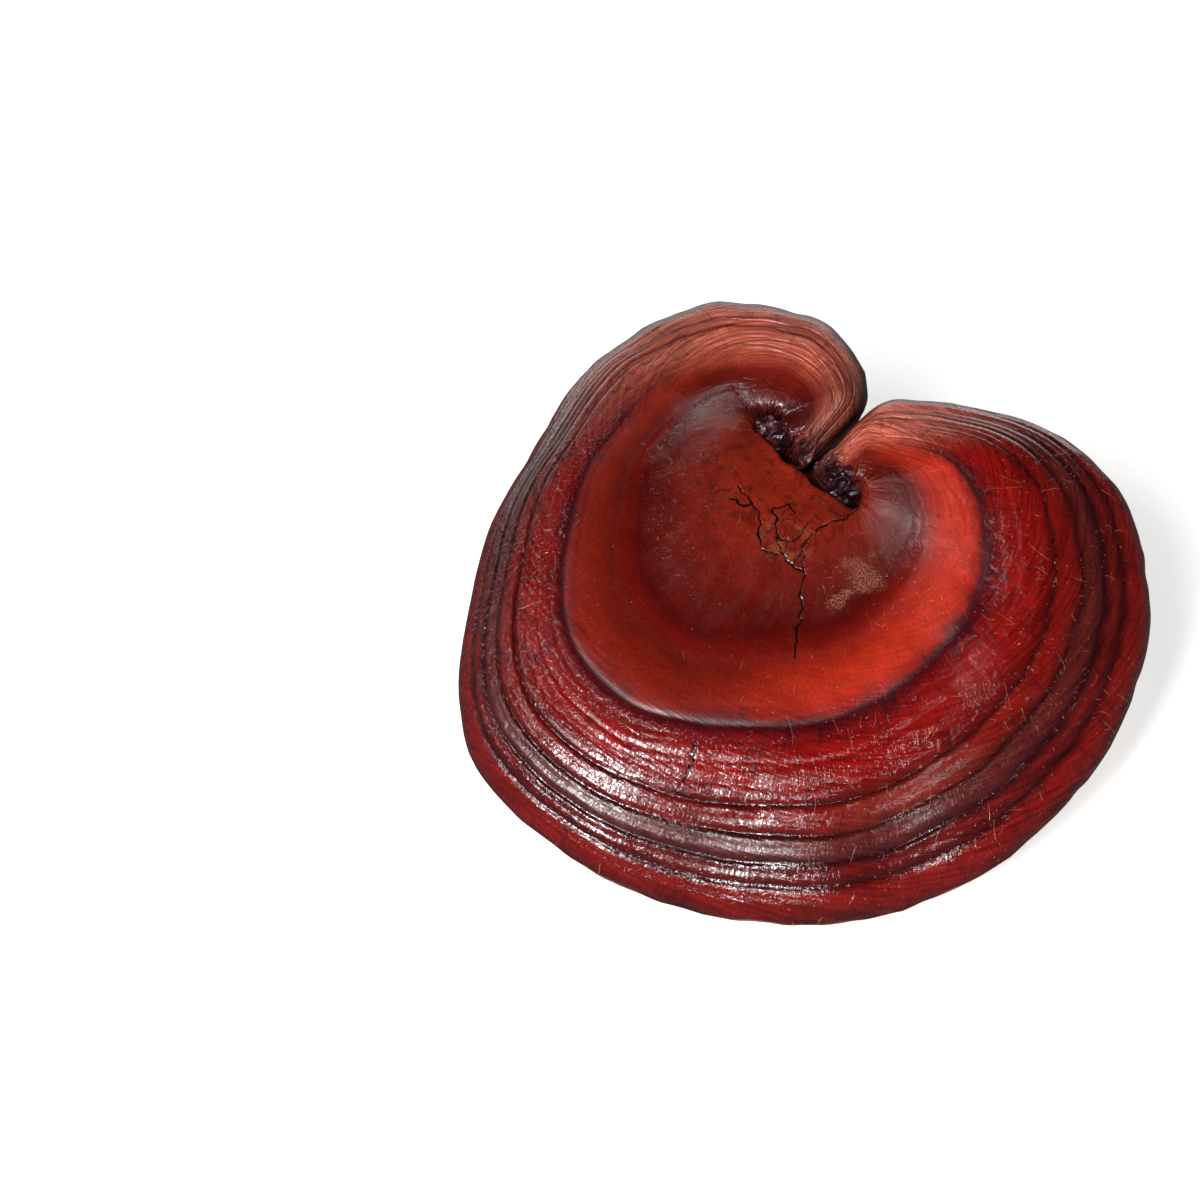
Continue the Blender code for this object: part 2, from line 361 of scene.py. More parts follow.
@dataclass(frozen=True)
class CapRelief:
    """The fine relief that the cap grew with and dried to, over its main form, in millimetres."""

    creases: tuple[Crease, ...] = (
        Crease(0.615, 0.3, 0.2, 0.013), Crease(0.655, 0.12, 0.1), Crease(0.70, 0.2, 0.1),
        Crease(0.745, 0.15, 0.12), Crease(0.788, 0.8, 0.35), Crease(0.818, 0.25, 0.15),
        Crease(0.846, 0.65, 0.4), Crease(0.871, 0.25, 0.25), Crease(0.898, 0.75, 0.45),
        Crease(0.92, 0.3, 0.25), Crease(0.942, 0.75, 0.5), Crease(0.966, 0.35, 0.3),
    )
    crease_wander: float = 0.004
    crease_sharpness: float = 1.4
    front_begins: Span = (195.0, 225.0)
    front_ends: Span = (285.0, 320.0)
    swell: float = 0.5
    swells_begin: Span = (20.0, 50.0)
    dimples: float = 0.07
    dimples_end: Span = (0.56, 0.62)
    ring_lines: float = 92.0
    line_wander: float = 0.02
    fine_rings: float = 0.12
    fine_begin: Span = (0.5, 0.75)
    inner_rings: float = 0.05
    inner_begin: Span = (0.2, 0.35)
    folds: float = 0.07
    folds_begin: Span = (0.6, 0.7)
    folds_end: Span = (0.86, 0.95)
    curl_wrinkles: float = 1.5
    curl_ends: Span = (14.0, 44.0)
    curl_opens: Span = (0.2, 3.0)
    valley: float = 2.6
    pore_swell: float = 0.35
    scallop: float = 0.55
    scalloped: Span = (0.82, 1.0)
    edge_ridges: float = 0.16
    ridged: Span = (0.96, 1.0)
    ridges_per_height: float = 2.6
    ragged_lip: float = 0.5
    lip_ends: Span = (0.0, 0.12)

    def creased(self, direction: np.ndarray, ring: np.ndarray, arc: np.ndarray) -> np.ndarray:
        """How deep the creases between the rings lie, each wandering and fading along its length.

        Args:
            direction: degrees round the scroll.
            ring: the ring of each place.
            arc: length along the rim up to that direction.

        Returns:
            Their depth.
        """
        front = between(self.front_begins, self.front_ends, direction)
        depth = np.zeros(np.broadcast(direction, ring).shape)
        for crease in self.creases:
            wander = self.crease_wander * Grain(53, 16).at(arc, 30 * crease.ring + 0.5)
            strength = 0.85 + 0.5 * Grain(59, 13).at(arc, 50 * crease.ring + 0.5)
            full = crease.elsewhere + (crease.front - crease.elsewhere) * front
            off = np.abs(ring - crease.ring - wander) / crease.wide
            depth = depth + full * strength * np.exp(-(off**self.crease_sharpness))
        return depth

    def curl(self, form: CapForm, direction: np.ndarray) -> np.ndarray:
        """1 at the strip's two curled ends, falling to 0 away from them."""
        return 1 - smoothstep(*self.curl_ends, form.inwards(direction))

    def wrinkles(self, arc: np.ndarray, distance: np.ndarray) -> np.ndarray:
        """Rounded folds with sharp valleys between them, as at the curled ends.

        Args:
            arc: length along the rim.
            distance: length out from the scroll.

        Returns:
            Their height at each place, up to 1.
        """
        bent = distance + 0.8 * Grain(61, 2.1, 2.4).at(arc, distance)
        broad = folded(Grain(13, 1.9, 1.5).at(arc, bent), self.valley)
        fine = folded(Grain(67, 0.9, 0.8).at(arc, bent), self.valley)
        return 0.7 * broad + 0.3 * fine

    def face(self, form: CapForm, direction: np.ndarray, growth: np.ndarray, arc: np.ndarray) -> np.ndarray:
        """Height that the upper face has over the main form.

        Args:
            form: the main form.
            direction: degrees round the scroll.
            growth: 0 at the scroll, 1 at the rim.
            arc: length along the rim up to that direction.

        Returns:
            The added height.
        """
        ring = form.ring(direction, growth)
        distance = growth * form.reach(direction)
        main = form.mainness(direction)
        x, y = form.plan(direction, growth, form.reach(direction))
        inner = 1 - smoothstep(*self.dimples_end, ring)
        uneven = Grain(71, 5.5, 5.5, 40).at(x, y) + 0.5 * Grain(73, 2.4, 2.4, 60).at(x, y)
        wander = self.line_wander * Grain(5, 12).at(arc, ring * 9)
        rings = Grain(7, 45).at(arc, (ring + wander) * self.ring_lines)
        folding = between(self.folds_begin, self.folds_end, ring)
        curl = self.curl(form, direction) * smoothstep(*self.curl_opens, distance)
        return (
            form.groove_depth(ring)
            - self.creased(direction, ring, arc) * (0.45 + 0.55 * main)
            + self.swell * Grain(3, 19, 13).at(arc, distance) * smoothstep(*self.swells_begin, distance)
            + self.dimples * uneven * inner
            + self.inner_rings * rings * inner * smoothstep(*self.inner_begin, ring)
            + self.fine_rings * rings * (1.9 - 1.1 * main) * smoothstep(*self.fine_begin, ring)
            + self.folds * Grain(11, 2.9, 10).at(arc, distance) * folding
            + self.curl_wrinkles * curl * (self.wrinkles(arc, distance) - 0.3)
        )

    def pore_face(self, arc: np.ndarray, distance: np.ndarray) -> np.ndarray:
        """Height that the pore face has over the main form."""
        return self.pore_swell * Grain(23, 14, 9).at(arc, distance)

    def edge(self, arc: np.ndarray, growth: np.ndarray, height: np.ndarray) -> np.ndarray:
        """How far the rim stands out or in: scalloped along it, and ridged down its thickness.

        Args:
            arc: length along the rim.
            growth: 0 at the scroll, 1 at the rim.
            height: height of each place.

        Returns:
            The length to add to its reach.
        """
        scallops = 0.5 - np.abs(Grain(17, 8.5).at(arc, 0.5)) ** 0.7 + 0.4 * Grain(19, 3.1).at(arc, 0.5)
        ridges = np.cos(height * self.ridges_per_height + Grain(29, 20).at(arc, 0.5))
        edge = self.scallop * scallops * smoothstep(*self.scalloped, growth)
        return edge + self.edge_ridges * ridges * smoothstep(*self.ridged, growth)

    def lip(self, direction: np.ndarray, growth: np.ndarray, height: np.ndarray) -> tuple[np.ndarray, ...]:
        """How far the ragged lip along the scrolls and the tongue is off its place, in x and y."""
        ragged = self.ragged_lip * (1 - smoothstep(*self.lip_ends, growth))
        return tuple(ragged * Grain(seed, 5, 3).at(direction, height) for seed in (83, 89))


@dataclass(frozen=True)
class Crack:
    """A drying crack of the lacquer over the tongue: the points it runs through, and its half width."""

    points: tuple[Span, ...]
    wide: float

    def distance(self, x: np.ndarray, y: np.ndarray) -> np.ndarray:
        """How far each place lies from the crack.

        Args:
            x: places in plan.
            y: places in plan.

        Returns:
            Their distances to its nearest stretch.
        """
        nearest = np.full(np.shape(x), np.inf)
        for (x0, y0), (x1, y1) in zip(self.points, self.points[1:]):
            dx, dy = x1 - x0, y1 - y0
            share = np.clip(((x - x0) * dx + (y - y0) * dy) / (dx * dx + dy * dy), 0, 1)
            nearest = np.minimum(nearest, np.hypot(x - x0 - share * dx, y - y0 - share * dy))
        return nearest


CRACKS = (
    Crack((
        (10.8, -15.7), (9.8, -16.2), (8.0, -17.8), (5.9, -18.4), (2.6, -20.0), (-0.5, -22.9),
        (-2.4, -24.8), (-1.9, -28.6), (-2.2, -32.0), (-2.8, -37.0), (-3.0, -41.2), (-4.4, -45.8),
        (-4.6, -51.2),
    ), 0.24),
    Crack((
        (-16.2, -10.6), (-14.7, -12.3), (-13.3, -14.2), (-11.4, -17.4), (-11.7, -21.6),
        (-11.2, -25.4), (-9.1, -27.0), (-7.6, -27.1),
    ), 0.23),
    Crack(((-17.9, -13.2), (-15.0, -14.9), (-13.1, -15.2)), 0.2),
    Crack((
        (-8.4, -15.7), (-7.8, -18.5), (-7.9, -22.7), (-6.6, -27.2), (-5.6, -28.4), (-4.3, -29.4),
        (-2.3, -30.6),
    ), 0.25),
    Crack(((-7.9, -22.7), (-4.8, -24.2), (-3.2, -22.2), (-1.4, -20.3), (-0.6, -18.9)), 0.2),
    Crack(((-8.0, -15.5), (-6.2, -15.4), (-4.6, -14.3), (-3.9, -16.6)), 0.18),
    Crack(((-4.3, -29.4), (-3.4, -27.2), (-2.4, -25.6)), 0.18),
    Crack(((-26.1, -72.0), (-26.9, -75.0), (-28.7, -78.9)), 0.36),
)


# Pieces


class Slot(Enum):
    """The material slot names."""

    CAP = "cap_lacquer"
    STEM = "stem_lacquer"


def pick_only(piece: bpy.types.Object) -> None:
    """Makes a piece the only selected object, and the active one.

    Args:
        piece: the piece to pick.
    """
    bpy.ops.object.select_all(action="DESELECT")
    piece.select_set(True)
    bpy.context.view_layer.objects.active = piece


def in_rows(*sides: np.ndarray) -> np.ndarray:
    """Rows of x, y and z, from an array of each."""
    return np.stack([np.ravel(side) for side in sides], axis=1)


def give_floats(mesh: bpy.types.Mesh, name: str, values: np.ndarray) -> None:
    """Stores one number for each vertex under a name that materials read."""
    mesh.attributes.new(name, "FLOAT", "POINT").data.foreach_set("value", np.ravel(values))


def give_places(mesh: bpy.types.Mesh, name: str, x: np.ndarray, y: np.ndarray) -> None:
    """Stores one place in a plane for each vertex under a name that materials read."""
    places = in_rows(x, y, np.zeros(np.size(x)))
    mesh.attributes.new(name, "FLOAT_VECTOR", "POINT").data.foreach_set("vector", places.ravel())


def points_of(mesh: bpy.types.Mesh) -> np.ndarray:
    """Reads a mesh's vertices.

    Args:
        mesh: the mesh.

    Returns:
        Rows of x, y and z.
    """
    points = np.empty(len(mesh.vertices) * 3)
    mesh.vertices.foreach_get("co", points)
    return points.reshape(-1, 3)


def set_points(mesh: bpy.types.Mesh, points: np.ndarray) -> None:
    """Moves the mesh's vertices to rows of x, y and z."""
    mesh.vertices.foreach_set("co", points.ravel())
    mesh.update()


def close_outwards(piece: bpy.types.Object) -> None:
    """Merges a piece's seams, fills what is open and turns its faces outwards, as by hand.

    Args:
        piece: the piece to close.
    """
    pick_only(piece)
    bpy.ops.object.mode_set(mode="EDIT")
    bpy.ops.mesh.select_all(action="SELECT")
    bpy.ops.mesh.remove_doubles(threshold=1e-6)
    bpy.ops.mesh.select_mode(type="EDGE")
    bpy.ops.mesh.select_all(action="DESELECT")
    bpy.ops.mesh.select_non_manifold()
    bpy.ops.mesh.fill_holes(sides=0)
    bpy.ops.mesh.select_all(action="SELECT")
    bpy.ops.mesh.normals_make_consistent(inside=False)
    bpy.ops.object.mode_set(mode="OBJECT")


@dataclass
class Cap:
    """The cap: one closed skin swept along the strip, with its relief, cracks and rounded ends."""

    form: CapForm
    relief: CapRelief
    rows: int = 400
    inner_columns: int = 54
    ring_columns: int = 92
    margin_columns: int = 14
    under_columns: int = 30
    wall_columns: int = 6
    inner_ring: float = 0.56
    outer_ring: float = 0.94
    thinnest: float = 0.01
    row_samples: int = 6000
    arc_samples: int = 3000
    crowding_reach: float = 100.0
    end_crowding: float = 0.8
    end_fade: float = 12.0
    front_crowding: float = 0.25
    front_begins: Span = (215.0, 235.0)
    front_ends: Span = (260.0, 280.0)
    crack_depth: float = 0.2
    crack_cuts: int = 3
    crack_margin: float = 0.95
    crack_lowest: float = 2.0

    def directions(self) -> np.ndarray:
        """Spreads the cuts, closer together where the rim is far and at the curled ends.

        Returns:
            Their directions, one to a row.
        """
        form = self.form
        fine = np.linspace(form.first_direction, form.last_direction, self.row_samples)
        crowding = np.sqrt(form.reach(fine) / self.crowding_reach)
        crowding = crowding + self.end_crowding * np.exp(-form.inwards(fine) / self.end_fade)
        crowding = crowding + self.front_crowding * between(self.front_begins, self.front_ends, fine)
        place = np.concatenate([[0], np.cumsum((crowding[1:] + crowding[:-1]) / 2)])
        return np.interp(np.linspace(0, place[-1], self.rows), place, fine)[:, None]

    def arc(self, direction: np.ndarray) -> np.ndarray:
        """Measures along the rim.

        Args:
            direction: degrees round the scroll.

        Returns:
            The length up to each direction.
        """
        fine = np.linspace(self.form.first_direction, self.form.last_direction, self.arc_samples)
        steps = np.radians(np.diff(fine)) * self.form.reach(fine)[1:]
        return np.interp(direction, fine, np.concatenate([[0], np.cumsum(steps)]))

    def loop(self, direction: np.ndarray) -> tuple[np.ndarray, np.ndarray]:
        """The columns of one cut: out over the top, back over the pore face, up the scroll's wall.

        Args:
            direction: the directions of the cuts, one to a row.

        Returns:
            Growth at each row and column, and side, which is 1 on top and 0 on the pore face.
        """
        inner = self.form.growth(direction, self.inner_ring)
        outer = self.form.growth(direction, self.outer_ring)
        rings = np.linspace(self.inner_ring, self.outer_ring, self.ring_columns, endpoint=False)
        turn = np.linspace(0, math.pi / 2, self.margin_columns + 1)
        top = np.hstack([
            inner * np.linspace(0, 1, self.inner_columns, endpoint=False)[None, :],
            self.form.growth(direction, rings[None, :]),
            outer + (1 - outer) * np.sin(turn)[None, :],
        ])
        under = np.hstack([
            outer + (1 - outer) * np.sin(turn[::-1][1:])[None, :],
            outer * np.linspace(1, 0, self.under_columns + 1)[1:][None, :],
        ])
        wall = np.zeros((len(direction), self.wall_columns))
        growth = np.hstack([top, under, wall])
        side = np.concatenate([
            np.ones(top.shape[1]),
            np.zeros(under.shape[1]),
            np.linspace(0, 1, self.wall_columns + 1)[1:],
        ])
        return growth, side[None, :]

    def skin(self, direction: np.ndarray, fine: bool) -> tuple[np.ndarray, np.ndarray, np.ndarray]:
        """The places of the skin in the cap's frame.

        Args:
            direction: the directions of the cuts, one to a row.
            fine: True with the relief, False for the main form alone.

        Returns:
            x, y and z at each row and column.
        """
        form, relief = self.form, self.relief
        growth, side = self.loop(direction)
        reach = form.reach(direction)
        top = form.top(direction, growth)
        under = form.under(direction, growth)
        share = form.thickness_share(direction, self.thinnest)
        height = (top + under) / 2 + (side - 0.5) * (top - under) * share
        if not fine:
            return *form.plan(direction, growth, reach), height
        arc = self.arc(direction)
        inside = form.margin_share(direction, growth) * share
        height = height + side * inside * relief.face(form, direction, growth, arc)
        height = height + (1 - side) * inside * relief.pore_face(arc, growth * reach)
        x, y = form.plan(direction, growth, reach + relief.edge(arc, growth, height))
        off_x, off_y = relief.lip(direction, growth, height)
        return x + off_x, y + off_y, height

    def painted_shading(self, direction: np.ndarray) -> np.ndarray:
        """Painted shade and light by direction: darker by the left scroll and along the left flank, paler at
        the right.

        Args:
            direction: degrees round the scroll.

        Returns:
            A number round 1 for each direction.
        """
        # painted shade by the left scroll and over the left flank, painted light on the right lobe
        scroll = 1 - smoothstep(20, 60, direction)
        flank = between((95, 135), (190, 230), direction)
        return 1 - 0.55 * scroll - 0.3 * flank + 0.12 * smoothstep(385, 420, direction)

    def stand(self) -> Matrix:
        """Finds where the cap stands.

        Returns:
            The move from the cap's frame to where the CAD cap lies.
        """
        lean = Matrix.Rotation(self.form.lean, 4, "X")
        places = in_rows(*self.skin(self.directions(), fine=False)) * MM
        places = places @ np.array(lean.to_3x3()).T
        low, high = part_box("cap")
        middle = (places.min(axis=0) + places.max(axis=0)) / 2
        return Matrix.Translation((low + high) / 2 - Vector(middle)) @ lean

    def build(self, stand: Matrix) -> bpy.types.Object:
        """Models the cap where the CAD cap lies.

        Args:
            stand: the move from the cap's frame to the part's.

        Returns:
            The finished object.
        """
        direction = self.directions()
        growth, side = self.loop(direction)
        rows, columns = growth.shape
        bpy.ops.object.select_all(action="DESELECT")
        bpy.ops.mesh.primitive_grid_add(x_subdivisions=columns - 1, y_subdivisions=rows - 1, size=1)
        cap = bpy.context.object
        cap.name = "lacquered_cap"
        mesh = cap.data
        x, y, z = self.skin(direction, fine=True)
        set_points(mesh, in_rows(x, y, z) * MM)

        full = np.ones_like(growth)
        arc = self.arc(direction)
        distance = growth * self.form.reach(direction)
        for name, values in (
            ("ring", self.form.ring(direction, growth)),
            ("main", self.form.mainness(direction) * full),
            ("pores", (1 - side) * full),
            ("curl", self.relief.curl(self.form, direction) * full),
            ("folds", self.relief.wrinkles(arc, distance)),
            # painted shade and light by direction, which the lacquer's colour reads
            ("painted_shading", self.painted_shading(direction) * full),
        ):
            give_floats(mesh, name, values)
        give_places(mesh, "sweep", arc / CENTIMETRE * full, distance / CENTIMETRE)
        give_places(mesh, "plan", x / CENTIMETRE, y / CENTIMETRE)
        close_outwards(cap)
        self.crack(cap)

        mesh.transform(stand)
        places = points_of(mesh)
        places[:, 2] = np.maximum(places[:, 2], 0)
        set_points(mesh, places)
        mesh.shade_smooth()
        return cap

    def crack(self, cap: bpy.types.Object) -> None:
        """Cuts the drying cracks into the lacquer, on a finer mesh along each.

        Args:
            cap: the cap, still in its own frame.
        """
        mesh = cap.data
        faces = np.array([face.center[:] for face in mesh.polygons]) / MM
        near = np.min([crack.distance(faces[:, 0], faces[:, 1]) for crack in CRACKS], axis=0)
        pick_only(cap)
        bpy.ops.object.mode_set(mode="EDIT")
        bpy.ops.mesh.select_mode(type="FACE")
        bpy.ops.mesh.select_all(action="DESELECT")
        bpy.ops.object.mode_set(mode="OBJECT")
        mesh.polygons.foreach_set("select", (near < self.crack_margin) & (faces[:, 2] > self.crack_lowest))
        bpy.ops.object.mode_set(mode="EDIT")
        bpy.ops.mesh.subdivide(number_cuts=self.crack_cuts)
        bpy.ops.object.mode_set(mode="OBJECT")

        places = points_of(mesh)
        x, y = places[:, 0] / MM, places[:, 1] / MM
        bent_x = x + 0.5 * Grain(31, 1.5, 1.5).at(x, y) + 0.15 * Grain(33, 0.5, 0.5).at(x, y)
        bent_y = y + 0.5 * Grain(37, 1.5, 1.5).at(x, y) + 0.15 * Grain(39, 0.5, 0.5).at(x, y)
        opened = np.zeros(len(x))
        for crack in CRACKS:
            wide = crack.wide * (1 + 0.6 * Grain(41, 2, 2).at(x, y))
            opened = np.maximum(opened, 1 - smoothstep(0.15, 1.0, crack.distance(bent_x, bent_y) / wide))
        opened = opened * (places[:, 2] > self.crack_lowest * MM)
        places[:, 2] -= self.crack_depth * MM * opened
        set_points(mesh, places)
        give_floats(mesh, "crack", opened)

    def dress(self, cap: bpy.types.Object) -> None:
        """Gives the cap its lacquer."""
        cap.data.materials.append(CapSkin().material())


@dataclass
class ScrollKnob:
    """A wrinkled knob of crust where a lobe's margin curls in on itself at its scroll."""

    name: str
    centre: tuple[float, float, float]
    radii: tuple[float, float, float]
    shift: float
    noise_seed: int = 1
    pitch: float = 0.95
    twist: float = 0.6
    twist_pitch: float = 1.3
    wrinkle: float = 0.95
    wrinkle_pitch: float = 1.4
    fine: float = 0.3
    fine_pitch: float = 3.1
    detail: int = 6

    def build(self, stand: Matrix) -> bpy.types.Object:
        """Models the knob in its scroll.

        Args:
            stand: the move from the cap's frame to the part's.

        Returns:
            The finished object.
        """
        bpy.ops.object.select_all(action="DESELECT")
        bpy.ops.mesh.primitive_ico_sphere_add(subdivisions=self.detail, radius=1.0)
        knob = bpy.context.object
        knob.name = self.name
        places = points_of(knob.data)
        # Vector noise starts from the clock unless it is given a seed
        noise.seed_set(self.noise_seed)
        for i, place in enumerate(places):
            spot = Vector(place) * self.pitch + Vector((self.shift, 2 * self.shift, 0.0))
            bent = spot + self.twist * noise.noise_vector(spot * self.twist_pitch)
            broad = folded(noise.noise(bent * self.wrinkle_pitch), 2.8)
            fine = folded(noise.noise(bent * self.fine_pitch), 2.4)
            places[i] = place * (1 + (self.wrinkle * broad + self.fine * fine) / max(self.radii))
        set_points(knob.data, (places * self.radii + self.centre) * MM)
        knob.data.transform(stand)
        knob.data.shade_smooth()
        return knob

    def dress(self, knob: bpy.types.Object, crust: bpy.types.Material) -> None:
        """Gives the knob the crust that both knobs share."""
        knob.data.materials.append(crust)


@dataclass
class Stem:
    """The stem: rings extruded down from the cap, leant with it and cut level with the floor."""

    form: CapForm
    across: Curve = Curve((
        (0, 16.0), (2.5, 14.2), (7, 11.6), (14, 9.8), (26, 9.2), (38, 9.6), (50, 10.4), (75, 11.4),
    ))
    along: Curve = Curve((
        (0, 12.5), (2.5, 11.6), (7, 10.2), (14, 9.2), (26, 8.8), (38, 9.2), (50, 9.8), (75, 10.8),
    ))
    sides: int = 160
    ring_step: float = 0.8
    length: float = 75.0
    sunk: float = 1.2
    bend: float = 3.0
    bend_length: float = 60.0
    lobing: float = 0.035
    wrinkle: float = 0.28
    foot_bevel: float = 0.7
    foot_height: float = 0.2

    def build(self, stand: Matrix) -> bpy.types.Object:
        """Models the stem where the CAD stem stands.

        Args:
            stand: the move from the cap's frame to the part's.

        Returns:
            The finished object.
        """
        bpy.ops.object.select_all(action="DESELECT")
        bpy.ops.mesh.primitive_circle_add(vertices=self.sides, radius=1.0, fill_type="NGON")
        stem = bpy.context.object
        stem.name = "lacquered_stem"
        pick_only(stem)
        bpy.ops.object.mode_set(mode="EDIT")
        bpy.ops.mesh.select_all(action="SELECT")
        for _ in range(int((self.length + self.sunk) / self.ring_step)):
            bpy.ops.mesh.extrude_region_move(TRANSFORM_OT_translate={"value": (0, 0, -self.ring_step)})
        bpy.ops.object.mode_set(mode="OBJECT")
        self.shape(stem.data)
        stem.data.transform(stand)
        pick_only(stem)
        bpy.ops.object.mode_set(mode="EDIT")
        bpy.ops.mesh.select_all(action="SELECT")
        bpy.ops.mesh.bisect(plane_co=(0, 0, 0), plane_no=(0, 0, 1), use_fill=True, clear_inner=True)
        bpy.ops.mesh.inset(thickness=self.foot_bevel * MM)
        bpy.ops.mesh.select_all(action="SELECT")
        bpy.ops.mesh.normals_make_consistent(inside=False)
        bpy.ops.object.mode_set(mode="OBJECT")
        stem.data.shade_smooth()
        return stem

    def shape(self, mesh: bpy.types.Mesh) -> None:
        """Gives the extruded rings their widths, bend and lengthwise wrinkles, in the cap's frame.

        Args:
            mesh: the extruded tube, of radius 1.
        """
        places = points_of(mesh)
        turn = np.arctan2(places[:, 1], places[:, 0])
        depth = -places[:, 2] - self.sunk
        lump = 1 + self.lobing * np.sin(3 * turn + 0.7 + depth / 11)
        furrows = Grain(43, 1, 16).at(turn * 5 + 40, depth) + 0.5 * Grain(47, 1, 9).at(turn * 13 + 80, depth)
        swell = lump + self.wrinkle * furrows / 10
        x = self.across.at(depth) * np.cos(turn) * swell
        y = self.along.at(depth) * np.sin(turn) * swell
        (x0, y0), (x1, y1) = self.form.left_scroll, self.form.right_scroll
        slot = math.atan2(y1 - y0, x1 - x0)
        bend = self.bend * np.sin(np.pi * np.clip(depth / self.bend_length, 0, 1))
        places[:, 0] = self.form.pad_centre[0] + bend + x * math.cos(slot) - y * math.sin(slot)
        places[:, 1] = self.form.pad_centre[1] + 0.4 * bend + x * math.sin(slot) + y * math.cos(slot)
        places[:, 2] = -self.form.pad_depth - depth
        set_points(mesh, places * MM)

    def dress(self, stem: bpy.types.Object) -> None:
        """Gives the stem its lacquer, and its cut foot the pale flesh.

        Args:
            stem: the stem where it stands.
        """
        stem.data.materials.append(StemSkin().material(self.form.lean))
        stem.data.materials.append(CutFlesh().material())
        for face in stem.data.polygons:
            level = abs(face.normal.z) > 0.9
            face.material_index = int(face.center.z < self.foot_height * MM and level)


# Shader trees


def tint(red: int, green: int, blue: int) -> Colour:
    """A colour as seen, of 0 to 255, as the linear colour that shaders take."""
    linear = [((v / 255 + 0.055) / 1.055) ** 2.4 if v > 10 else v / 3294 for v in (red, green, blue)]
    return (*linear, 1.0)


class Graph:
    """A hand for laying out the nodes of one shader tree."""

    def __init__(self, tree: bpy.types.NodeTree) -> None:
        """Works on a tree."""
        self.tree = tree

    def add(self, kind: str, inputs: dict[str | int, Feed], **settings: object) -> bpy.types.Node:
        """Adds a node.

        Args:
            kind: its Blender type, without the ShaderNode that they all begin with.
            inputs: what its sockets are linked or set to, by name or number.
            settings: properties to set on it.

        Returns:
            The node.
        """
        node = self.tree.nodes.new("ShaderNode" + kind)
        for name, value in settings.items():
            setattr(node, name, value)
        for name, value in inputs.items():
            self.feed(node.inputs[name], value)
        return node

    def feed(self, socket: Socket, value: Feed) -> None:
        """Links an output to a socket, or sets the socket to a plain value.

        Args:
            socket: the input to feed.
            value: the output or plain value.
        """
        if isinstance(value, Socket):
            self.tree.links.new(value, socket)
        else:
            socket.default_value = value

    def math(self, operation: str, first: Feed, second: Feed = 0.0) -> Socket:
        """The result of one calculation on numbers."""
        return self.add("Math", {0: first, 1: second}, operation=operation).outputs[0]

    def times(self, *values: Feed) -> Socket:
        """The product of several numbers."""
        return reduce(lambda result, value: self.math("MULTIPLY", result, value), values)

    def plus(self, *values: Feed) -> Socket:
        """The sum of several numbers."""
        return reduce(lambda result, value: self.math("ADD", result, value), values)

    def step(self, value: Feed, low: float, high: float, start: float = 0.0, end: float = 1.0) -> Socket:
        """A soft step from start to end, as a value goes from low to high."""
        inputs = {"Value": value, "From Min": low, "From Max": high, "To Min": start, "To Max": end}
        return self.add("MapRange", inputs, interpolation_type="SMOOTHSTEP").outputs["Result"]

    def band(self, value: Feed, low: float, high: float, soft: float) -> Socket:
        """1 where a value lies between low and high, with soft edges."""
        rise = self.step(value, low - soft, low + soft)
        return self.times(rise, self.step(value, high + soft, high - soft))

    def mix(self, share: Feed, under: Feed, over: Feed) -> Socket:
        """One colour laid over another by a share."""
        return self.add("Mix", {0: share, 6: under, 7: over}, data_type="RGBA").outputs[2]

    def scaled(self, colour: Feed, gain: Feed) -> Socket:
        """A colour with its brightness multiplied."""
        return self.add("VectorMath", {0: colour, "Scale": gain}, operation="SCALE").outputs[0]

    def ramp(self, value: Feed, stops: Stops) -> Socket:
        """The colour that a value has along a row of stops.

        Args:
            value: the place along the row.
            stops: each stop's place and colour.

        Returns:
            The colour.
        """
        node = self.add("ValToRGB", {0: value})
        elements = node.color_ramp.elements
        for _ in range(len(stops) - 2):
            elements.new(0.5)
        for element, (place, colour) in zip(elements, stops):
            element.position = place
            element.color = colour
        return node.outputs[0]

    def vector(self, operation: str, first: Feed, second: Feed) -> Socket:
        """The result of one calculation on vectors."""
        return self.add("VectorMath", {0: first, 1: second}, operation=operation).outputs[0]

    def distance(self, first: Feed, second: Feed) -> Socket:
        """How far apart two places are."""
        return self.add("VectorMath", {0: first, 1: second}, operation="DISTANCE").outputs["Value"]

    def sides(self, vector: Feed) -> bpy.types.NodeOutputs:
        """The X, Y and Z of a vector."""
        return self.add("SeparateXYZ", {0: vector}).outputs

    def noise(self, vector: Feed, scale: Feed, detail: float = 2.0, distortion: float = 0.0) -> Socket:
        """Smooth noise between 0 and 1."""
        inputs = {"Vector": vector, "Scale": scale, "Detail": detail, "Distortion": distortion}
        return self.add("TexNoise", inputs).outputs["Fac"]

    def number(self, name: str) -> Socket:
        """A number that the mesh stores under a name."""
        return self.add("Attribute", {}, attribute_name=name).outputs["Fac"]

    def place(self, name: str) -> Socket:
        """A place that the mesh stores under a name."""
        return self.add("Attribute", {}, attribute_name=name).outputs["Vector"]

    def object_place(self) -> Socket:
        """The place in the part's frame."""
        return self.add("TexCoord", {}).outputs["Object"]

    def raise_by(self, shader: bpy.types.Node, height: Feed) -> None:
        """Raises a material by a height in millimetres."""
        bump = self.add("Bump", {"Distance": MM, "Height": height})
        self.feed(shader.inputs["Normal"], bump.outputs["Normal"])


